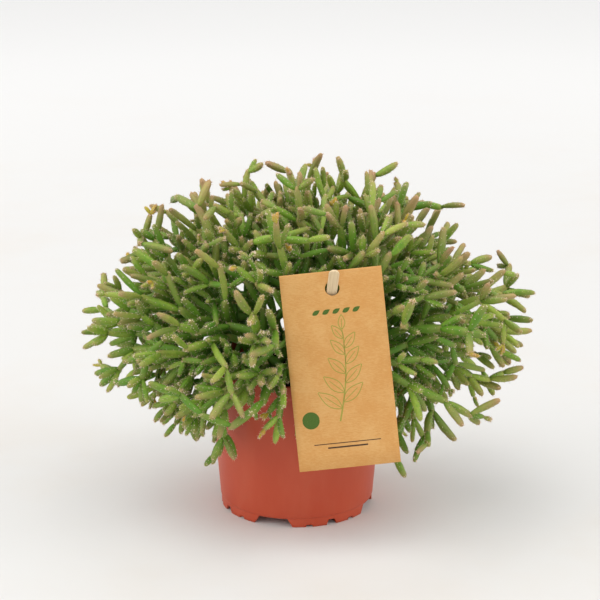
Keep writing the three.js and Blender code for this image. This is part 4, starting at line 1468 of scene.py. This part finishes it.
@dataclass
class Cuttings:
    """The rooted cuttings: one piece for each, with its joints and their wool and bristles."""

    branching: Branching
    skin: JointSkin = field(default_factory=JointSkin)
    weather_and_shade: WeatheringAndShade = field(default_factory=WeatheringAndShade)
    stems: int = 13

    def __post_init__(self) -> None:
        """Works out what every joint needs: its line, turn and bow, and its colours."""
        b, skin, n = self.branching, self.skin, self.branching.count
        self.rng = rng = np.random.default_rng(skin.seed)
        self.start, self.heading = b.start[:n], b.headings()
        self.length = size(b.end[:n] - b.start[:n])
        self.radius = b.radius[:n] * skin.fuller * rng.uniform(*skin.stoutness, n)
        self.across, self.out = skin.frame_axes(self.heading)
        self.twist = rng.uniform(0, 2 * np.pi, n)
        self.spiral = rng.uniform(-skin.spiral, skin.spiral, n)
        bend = rng.uniform(0, 2 * np.pi, n)[:, None]
        bow = self.length * skin.bow * rng.uniform(skin.least_bow, 1, n)
        self.bow = (self.across * np.cos(bend) + self.out * np.sin(bend)) * bow[:, None]
        self._weather_and_shade()

    def _family(self) -> Array:
        """A number from 0 to 1 for each joint, near that of the joint which bears it."""
        parents = self.branching.parent
        family = self.rng.uniform(0, 1, self.branching.count)
        for i in range(len(family)):
            if parents[i] >= 0:
                family[i] = between((family[i], family[parents[i]]), self.weather_and_shade.inherited)
        return family

    def _weather_and_shade(self) -> None:
        """Works out how exposed, how green, how bronzed and how young each joint is, the green darkened by
        painted shade deep inside.
        """
        b, weather_and_shade, rng, n = self.branching, self.weather_and_shade, self.rng, self.branching.count
        offset = b.mound.from_heart(b.end[:n])
        self.exposure = size(offset) / b.mound.reach_towards(offset)
        # Painted shade: joints deep inside the mound keep only part of their tint, so they take the shade
        # colour
        deep, first, full = weather_and_shade.inside
        lit = between((deep, 1), np.clip((self.exposure - first) / (full - first), 0, 1))
        least, kin, luck = weather_and_shade.tint
        tint = least + kin * self._family() + luck * (rng.uniform(0, 1, n) - 0.5)
        self.tint = np.clip(tint, 0, 1) * lit
        outer = np.clip((self.exposure - weather_and_shade.outer) / (1 - weather_and_shade.outer), 0, 1)
        low, top = weather_and_shade.heights
        high = np.clip((b.end[:n, 2] - low) / (top - low), 0, 1)
        side = np.clip(0.5 + 0.5 * offset[:, 0] / weather_and_shade.breadth, 0, 1)
        least, outwards, upwards, rightwards = weather_and_shade.bronze
        sunned = least + outer * (outwards + upwards * high + rightwards * side)
        bears = np.isin(np.arange(n), b.parent[:n])
        self.bronzed = np.clip(sunned * rng.uniform(0, 2, n) * np.where(bears, weather_and_shade.bearing, 1), 0, 1)
        young = b.radius[:n] < b.bud_radius[1]
        young |= (rng.uniform(0, 1, n) < weather_and_shade.young_share) & (self.length < weather_and_shade.young_length)
        self.young = np.where(young, rng.uniform(0, weather_and_shade.youngest, n) ** 2, 0)

    def _surface(self, pick: Array, along: Array, angle: Array, share: Array) -> Pair:
        """Points on the joints' skin, and the way out there.

        A point is the foot, plus the heading by the distance along, plus the joint's bow (greatest
        half way), plus the radius outwards, which swings by the ridge's share at each ridge.

        Args:
            pick: Which joints.
            along: Distances along them, a row for each joint.
            angle: Directions round them.
            share: Shares of the radius.

        Returns:
            Points and outward directions, both with a last axis of three.
        """
        wide = along.ndim - 1

        def spread(a: Array) -> Array:
            """One value for each joint, shaped to go with the rows of distances."""
            return a.reshape(a.shape[0], *(1,) * wide, *a.shape[1:])

        way = along / spread(self.length[pick])
        turn = angle + spread(self.twist[pick]) + spread(self.spiral[pick]) * way
        outward = (spread(self.across[pick]) * np.cos(turn)[..., None]
                   + spread(self.out[pick]) * np.sin(turn)[..., None])
        ridge = self.skin.ridge * np.cos(self.skin.ridges * angle)
        radius = spread(self.radius[pick]) * share * (1 + ridge)
        middle = (spread(self.start[pick]) + spread(self.heading[pick]) * along[..., None]
                  + spread(self.bow[pick]) * (4 * way * (1 - way))[..., None])
        return middle + outward * radius[..., None], outward

    def _bodies(self, pick: Array) -> tuple[Array, Array, Array, Array]:
        """Points, quads, triangles and distance shares of the joints' closed skins."""
        skin, n = self.skin, len(pick)
        length, radius = self.length[pick], self.radius[pick]
        rings = skin.rings(length, radius)
        along = np.repeat(rings[..., None], skin.sides, axis=2)
        share = skin.share(along, length[:, None, None], radius[:, None, None])
        points, _ = self._surface(pick, along, np.broadcast_to(circle(skin.sides), along.shape), share)
        foot = self.start[pick]
        tip = foot + self.heading[pick] * (length + skin.beyond * radius)[:, None]
        points = np.concatenate([points.reshape(n, -1, 3), foot[:, None], tip[:, None]], axis=1)
        way = np.concatenate([(along / length[:, None, None]).reshape(n, -1),
                              np.zeros((n, 1)), np.ones((n, 1))], axis=1)
        quads, ends = (on_each(block, n, points.shape[1])
                       for block in closed_faces(rings.shape[1], skin.sides))
        return points.reshape(-1, 3), quads, ends, way.ravel()

    def _spikes(self, foot: Array, way: Array, radius: Array, length: Array) -> Pair:
        """Closed three-sided spikes: a small triangle square to the way, and a point at its end."""
        way = unit(way)
        across, out = self.skin.frame_axes(way)
        corners = [foot + (across * math.cos(a) + out * math.sin(a)) * radius[:, None] for a in circle(3)]
        points = np.stack([*corners, foot + way * length[:, None]], axis=1)
        shape = np.array([[0, 1, 3], [1, 2, 3], [2, 0, 3], [0, 2, 1]])
        return points.reshape(-1, 3), on_each(shape, *points.shape[:2])

    def _hair(self, pick: Array) -> Pair:
        """Wool and bristles: tufts stepped along the four ridges, and a ring of them round the tip."""
        skin, rng = self.skin, self.rng
        n, length, radius = len(pick), self.length[pick, None], self.radius[pick, None]
        ridge, step = np.arange(skin.ridges), np.arange(skin.levels)[:, None]
        up, further = skin.stagger
        level = (step + further * (ridge % 2) + up) / skin.levels
        stray = rng.normal(0, skin.tuft_stray, (n, level.size))
        along = length * between(skin.tufted, level.reshape(1, -1)) + stray
        top = length + rng.uniform(*skin.crowned, (n, skin.crown)) * radius
        along = np.concatenate([along, top], axis=1)
        angle = np.concatenate([np.tile(circle(skin.ridges), (n, skin.levels)),
                                rng.uniform(0, 2 * np.pi, (n, skin.crown))], axis=1)
        share = skin.share(along, length, radius)
        place, outward = self._surface(pick, along, angle, share)
        heading = np.broadcast_to(self.heading[pick][:, None], place.shape)
        place, outward, heading = (a.reshape(-1, 3) for a in (place, outward, heading))
        lean = np.clip(1 - share.reshape(-1, 1), *skin.tuft_lean)
        normal = unit(outward * (skin.tuft_stand - lean) + heading * lean)
        woolly = np.repeat(rng.uniform(*skin.woolliness, n), skin.tufts)
        wide = np.tile(np.repeat(skin.wool, (level.size, skin.crown)), n) * woolly
        wide = wide * rng.uniform(*skin.unevenness, len(place))
        tufts = self._spikes(place - normal * skin.tuft_depth, normal, wide,
                             skin.tuft_height[0] + skin.tuft_height[1] * wide)
        way = normal + heading * skin.bristle_lean + rng.normal(0, skin.bristle_stray, place.shape)
        thick = np.full(len(place), skin.bristle_radius)
        bristles = self._spikes(place - normal * skin.bristle_depth, way, thick,
                                rng.uniform(*skin.bristle_length, len(place)))
        return joined([tufts, bristles])

    def build(self) -> None:
        """Builds each cutting in place of its solid."""
        finishes = [Flesh().make(), Bristle().make()]
        stem = self.branching.stem[:self.branching.count]
        for number in range(self.stems):
            pick = np.flatnonzero(stem == number)
            points, quads, ends, way = self._bodies(pick)
            hairy = pick[self.exposure[pick] > self.weather_and_shade.woolly]
            hair, spikes = self._hair(hairy)
            per, bare = len(points) // len(pick), np.zeros(len(hair))
            made = make_object(f"cutting_{number + 1:02d}", np.concatenate([points, hair]) * MM,
                               [quads, np.concatenate([ends, spikes + len(points)])], finishes)
            stray = self.rng.normal(0, self.weather_and_shade.rust_spread, len(hairy))
            rusty = np.repeat(np.clip(self.bronzed[hairy] + stray, 0, 1), 4 * self.skin.tufts)
            # The first number carries both the joints' own green and the painted shade deep inside the mound
            for name, joints, hairs in (("tint", self.tint, bare), ("young", self.young, bare),
                                        ("bronzed", self.bronzed, np.tile(rusty, 2))):
                set_number(made, name, np.concatenate([np.repeat(joints[pick], per), hairs]))
            set_number(made, "along", np.concatenate([way, bare]))
            slots = np.zeros(len(made.data.polygons), np.int32)
            slots[len(quads) + len(ends):] = 1
            made.data.polygons.foreach_set("material_index", slots)
            settle(made, "stem", f"stem_{number + 1:02d}")


# Card and stick


@dataclass
class CardStick:
    """The flat round-ended stick that the card hangs on."""

    tag: HangTag
    around: int = 20
    # How flat the section's sides are: 1 for an oval, and less for a flatter one
    squareness: float = 0.3
    # The foot's worn edge: how much narrower it is, and up to which height
    worn_foot: Range = (0.3, 0.25)
    # Rings of points: along the straight part, from that height on, and round the top
    straight_rings: int = 14
    straight_start: float = 4
    top_rings: int = 10
    # Share of the thickness that the very top keeps
    thinned: float = 0.45
    # How much of the depth shifts the grain, so that it shows on the narrow sides too
    grain_shift: float = 0.3

    def build(self) -> None:
        """Builds the stick: a rounded flat section carried up it, narrowing to a half circle at its top."""
        tag = self.tag
        half, top = tag.stick_width / 2, tag.stick_below + tag.stick_above
        worn, worn_height = self.worn_foot
        bend = np.linspace(0, np.pi / 2, self.top_rings + 2)[1:-1]
        straight = np.linspace(self.straight_start, top - half, self.straight_rings)
        heights = np.concatenate([[0, worn_height], straight, top - half + half * np.sin(bend)])
        widths = np.concatenate([[half - worn, half], np.full(len(straight), half), half * np.cos(bend)])
        turn = circle(self.around)
        section = [np.sign(f) * np.abs(f) ** self.squareness for f in (np.cos(turn), np.sin(turn))]
        thick = tag.stick_thickness / 2 * np.minimum(1, self.thinned + widths / half)
        local = np.stack([widths[:, None] * section[0], thick[:, None] * section[1],
                          np.repeat(heights[:, None], self.around, axis=1)], axis=-1).reshape(-1, 3)
        local = np.concatenate([local, [[0, 0, 0], [0, 0, top]]])
        points = (local @ tag.stick_turn.T + tag.foot) * MM
        made = make_object("card_stick", points, closed_faces(len(heights), self.around), [Birch().make()])
        grain = made.data.uv_layers.new(name="grain")
        corner = np.zeros(len(made.data.loops), np.int32)
        made.data.loops.foreach_get("vertex_index", corner)
        flat = local[corner] * MM
        places = np.column_stack([flat[:, 0] + flat[:, 1] * self.grain_shift, flat[:, 2]])
        grain.data.foreach_set("uv", places.astype(np.float32).ravel())
        settle(made, "stick", "tag_stick")


class Print(Enum):
    """The inks on the card."""

    FOREST = Ink("forest_ink", (0.070, 0.140, 0.022), (0.150, 0.180, 0.050))
    MOSS = Ink("moss_ink", (0.330, 0.330, 0.060), (0.450, 0.350, 0.100))
    BARK = Ink("bark_ink", (0.060, 0.035, 0.022), (0.160, 0.090, 0.045))


@dataclass
class KraftCard:
    """The kraft card with its punched hole and a plain sprig printed on it, in mm."""

    tag: HangTag
    around: int = 144
    edge: float = 0.12
    # Shares of the way from the hole to the edge that have a loop of points, on both faces
    ways: Row = (0.02, 0.1, 0.25, 0.45, 0.7, 0.9)
    # Further points along its side edges and its lower edge, where the curl needs them
    side_points: int = 26
    foot_points: int = 22
    curl: float = 0.45
    twist: float = 0.3
    twist_pitch: float = 22
    ink_height: float = 0.05
    ink_depth: float = 0.12
    # The print, across and up from the card's middle. The sprig: its foot, reach and sway, the points
    # of its stem, and the stem's width at the foot and how much it narrows
    line: float = 0.45
    sprig: tuple[Range, Range, float] = ((-3, -31), (6, 55), 3)
    stem_points: int = 30
    stem_width: Range = (0.9, 0.5)
    # Its leaves: how many, between which shares of the stem, and for the lowest leaf and how much less
    # towards the top their lean, length and width. The leaf at the tip has a lean, length and width
    sprig_leaves: int = 9
    leafy: Range = (0.14, 0.92)
    leaf_lean: Range = (0.95, 0.35)
    leaf_length: Range = (19, 9)
    leaf_width: Range = (7, 2.5)
    tip_leaf: Trio = (0.05, 9, 4)
    # The row of leaves: where they are, and the slope, length and width of each
    row: Row = (-13.2, -7.2, -1.2, 4.8, 10.8)
    row_height: float = 34
    row_leaf: Trio = (0.5, 5.4, 2.7)
    # The dot's middle and radius, and half the length, the height and the width of each rule
    dot: Trio = (-20.5, -29.0, 5.2)
    rules: tuple[Trio, ...] = ((20, -44.0, 0.5), (12, -46.5, 0.9))

    def _bend(self, flat: Array) -> Array:
        """Adds the card's slight curl, greatest at its side edges, to points across, out and up."""
        bent = flat.copy()
        bent[:, 1] += self.curl * (flat[:, 0] / (self.tag.width / 2)) ** 2 - self.curl / 2
        bent[:, 1] += self.twist * np.sin(flat[:, 2] / self.twist_pitch) * flat[:, 0] / self.tag.width
        return bent

    def _put(self, flat: Array) -> Array:
        """Carries points across, towards the back and up from the card's middle to where it hangs."""
        return (self._bend(flat) @ self.tag.turn.T + np.array(self.tag.centre)) * MM

    def _board(self, finish: bpy.types.Material) -> bpy.types.Object:
        """Loops between the hole and the edge, round over the front, the edge, the back and the hole's wall.

        Each loop's points lie on the way from the hole's circle to the card's edge in their direction.
        """
        tag = self.tag
        hole_x, hole_z, hole_radius = tag.hole
        half_x, half_z, half_y = tag.width / 2, tag.height / 2, tag.thickness / 2
        corners = np.arctan2([-half_z - hole_z, -half_z - hole_z, half_z - hole_z, half_z - hole_z],
                             [-half_x - hole_x, half_x - hole_x, half_x - hole_x, -half_x - hole_x])
        even = np.linspace(-np.pi, np.pi, self.around, endpoint=False)
        side = np.linspace(-half_z, hole_z, self.side_points)
        foot = np.linspace(-half_x, half_x, self.foot_points)
        angles = np.concatenate([even, corners, np.arctan2(side - hole_z, half_x - hole_x),
                                 np.arctan2(side - hole_z, -half_x - hole_x),
                                 np.arctan2(-half_z - hole_z, foot - hole_x)])
        turn = np.unique(np.round(angles % (2 * np.pi), 4) % round(2 * np.pi, 4))
        c, s = np.cos(turn), np.sin(turn)
        with np.errstate(divide="ignore"):
            reach = np.minimum(np.where(c > 0, half_x - hole_x, half_x + hole_x) / np.abs(c),
                               np.where(s > 0, half_z - hole_z, half_z + hole_z) / np.abs(s))
        rows = []

        def loop(way: float, inset: float, y: float) -> None:
            """Adds one loop of points at a share of the way out, an inset from the edge and a depth."""
            out = hole_radius + (reach - inset - hole_radius) * way
            rows.append(np.stack([hole_x + out * c, np.full_like(c, y), hole_z + out * s], axis=-1))

        edge = self.edge
        for way in self.ways:
            loop(way, edge, -half_y)
        for inset, y in ((edge, -half_y), (0, -half_y + edge), (0, half_y - edge), (edge, half_y)):
            loop(1, inset, y)
        for way in self.ways[::-1]:
            loop(way, edge, half_y)
        loop(0, 0, half_y - edge)
        loop(0, 0, -half_y + edge)
        points = self._put(np.concatenate(rows))
        faces = grid_faces(len(rows), len(turn), close_rows=True)
        return make_object("kraft_card", points, [faces[:, ::-1]], [finish])

    def _stroke(self, line: Array, width: float | Array) -> Pair:
        """A printed line: a flat bar along a path across and up, closed at both ends.

        Args:
            line: The path's places across and up, one a row.
            width: The line's width, everywhere or at each place.

        Returns:
            Points before the card's curl, and quads.
        """
        way = np.gradient(line, axis=0)
        way /= np.maximum(np.hypot(way[:, 0], way[:, 1]), 1e-9)[:, None]
        aside = np.column_stack([-way[:, 1], way[:, 0]]) * (np.broadcast_to(width, len(line)) / 2)[:, None]
        front = -self.tag.thickness / 2 - self.ink_height
        deep = front + self.ink_height + self.ink_depth
        left, right = line + aside, line - aside
        station = np.stack([np.insert(left, 1, front, axis=1), np.insert(right, 1, front, axis=1),
                            np.insert(right, 1, deep, axis=1), np.insert(left, 1, deep, axis=1)], axis=1)
        m = len(line)
        caps = np.array([[0, 1, 2, 3], [4 * m - 1, 4 * m - 2, 4 * m - 3, 4 * m - 4]])
        return station.reshape(-1, 3), np.concatenate([grid_faces(m, 4)[:, ::-1], caps[:, ::-1]])

    def _leaf(self, x: float, z: float, tilt: float, long: float, wide: float,
              line: float | None) -> list[Pair]:
        """A pointed oval leaf from its foot: filled, or two curved edges and a rib of that line width."""
        way = np.array([math.cos(tilt), math.sin(tilt)])
        aside = np.array([-way[1], way[0]])
        t = np.linspace(0.02, 0.98, 15)
        bulge = wide / 2 * np.sin(np.pi * t ** 0.85)
        spine = np.array([x, z]) + t[:, None] * long * way
        if line is None:
            return [self._stroke(spine, np.maximum(2 * bulge, 0.05))]
        edges = [self._stroke(spine + side * bulge[:, None] * aside, line) for side in (-1, 1)]
        return edges + [self._stroke(spine[:11], line * 0.8)]

    def _sprig(self) -> dict[Print, list[Pair]]:
        """The printed design: a row of small leaves, a tall sprig in outline, a round dot and two rules."""
        (x, z), (across, up), sway = self.sprig
        t = np.linspace(0, 1, self.stem_points)
        stem = np.column_stack([x + across * t + sway * np.sin(3 * t), z + up * t])
        moss = [self._stroke(stem, self.stem_width[0] - self.stem_width[1] * t)]
        for i, share in enumerate(np.linspace(*self.leafy, self.sprig_leaves)):
            lean, long, wide = (most - less * share for most, less in
                                (self.leaf_lean, self.leaf_length, self.leaf_width))
            tilt = math.pi / 2 - (1 if i % 2 else -1) * lean
            moss += self._leaf(*stem[int(share * (self.stem_points - 1))], tilt, long, wide, self.line)
        lean, long, wide = self.tip_leaf
        moss += self._leaf(*stem[-1], math.pi / 2 - lean, long, wide, self.line)
        forest = [leaf for x in self.row for leaf in self._leaf(x, self.row_height, *self.row_leaf, None)]
        t = np.linspace(-0.98, 0.98, 25)
        x, z, radius = self.dot
        forest.append(self._stroke(np.column_stack([x + radius * t, np.full(25, z)]),
                                   2 * radius * np.sqrt(1 - t ** 2)))
        bark = [self._stroke(np.column_stack([np.linspace(-half, half, 21), np.full(21, z)]), width)
                for half, z, width in self.rules]
        return {Print.MOSS: moss, Print.FOREST: forest, Print.BARK: bark}

    def build(self) -> None:
        """Builds the card in place of its solid, and the ink on it."""
        settle(self._board(Kraft().make()), "card", "tag_card")
        for ink, strokes in self._sprig().items():
            points, faces = joined(strokes)
            name, finish = f"card_{ink.value.name}", ink.value.make()
            settle(make_object(name, self._put(points), [faces], [finish], False), "card")


# Studio


@dataclass(frozen=True)
class Softbox:
    """One round area light: where it is and how wide, in metres, its power in watts, and its colour."""

    name: str
    place: Place
    width: float
    power: float
    colour: Colour


@dataclass
class Studio:
    """Camera, pale floor and soft light, in metres."""

    eye: Place = (0.002128, -1.05811, 0.43554)
    tilt: float = 90 - 15.8627
    lens: float = 103.97
    sensor: float = 36
    furthest: float = 50
    floor_radii: Row = (0.4, 1.2, 3, 9)
    floor_sides: int = 96
    sky: Colour = (1.0, 0.995, 0.985)
    sky_strength: float = 0.92
    lit_place: Place = (0, 0, 0.11)
    lights: tuple[Softbox, ...] = (
        Softbox("top_softbox", (-0.2, -0.25, 2.2), 1.8, 18, (1.0, 0.985, 0.96)),
        Softbox("left_window", (-2.2, -0.4, 1.1), 1.5, 13, (1.0, 0.99, 0.98)),
        Softbox("right_window", (2.2, -0.4, 1.1), 1.4, 12, (1.0, 0.98, 0.95)))

    def _set_camera(self) -> None:
        """Puts up the camera."""
        camera = bpy.data.cameras.new("camera")
        camera.lens, camera.sensor_width, camera.clip_end = self.lens, self.sensor, self.furthest
        holder = bpy.data.objects.new("camera", camera)
        holder.location = self.eye
        holder.rotation_euler = (math.radians(self.tilt), 0, 0)
        bpy.context.scene.collection.objects.link(holder)
        bpy.context.scene.camera = holder

    def _lay_floor(self) -> None:
        """Lays the floor: rings of points about its middle."""
        rows, columns = len(self.floor_radii), self.floor_sides
        points = turned(np.array(self.floor_radii)[:, None], 0.0, circle(columns))
        faces = [grid_faces(rows, columns)[:, ::-1], pole_faces(rows * columns, np.arange(columns), True)]
        make_object("floor", np.concatenate([points, [[0, 0, 0]]]), faces, [Paper().make()])

    def _light(self) -> None:
        """Puts up the sky and the softboxes, which look at the plant."""
        world = bpy.data.worlds.new("studio")
        world.use_nodes = True
        sky = world.node_tree.nodes["Background"]
        sky.inputs[0].default_value = (*self.sky, 1)
        sky.inputs[1].default_value = self.sky_strength
        bpy.context.scene.world = world
        for box in self.lights:
            light = bpy.data.lights.new(box.name, "AREA")
            light.shape, light.size, light.energy, light.color = "DISK", box.width, box.power, box.colour
            lamp = bpy.data.objects.new(box.name, light)
            lamp.location = box.place
            way = Vector(self.lit_place) - Vector(box.place)
            lamp.rotation_euler = way.to_track_quat("-Z", "Y").to_euler()
            bpy.context.scene.collection.objects.link(lamp)

    def build(self) -> None:
        """Builds the camera, floor, sky and lights."""
        self._set_camera()
        self._lay_floor()
        self._light()
        bpy.context.scene.view_settings.view_transform = "Standard"
        bpy.context.scene.view_settings.look = "None"


def main() -> None:
    """Builds the studio and the plant."""
    logging.basicConfig(level=logging.INFO, format="%(message)s")
    LOG.info("solids in the frame: %d", len(frame["nodes"]))
    Studio().build()
    pot = NurseryPot()
    pot.build()
    PeatFill(pot).build()
    tag = HangTag()
    Cuttings(Branching(Mound(pot, tag)).grow()).build()
    CardStick(tag).build()
    KraftCard(tag).build()


if __name__ == "__main__":
    main()
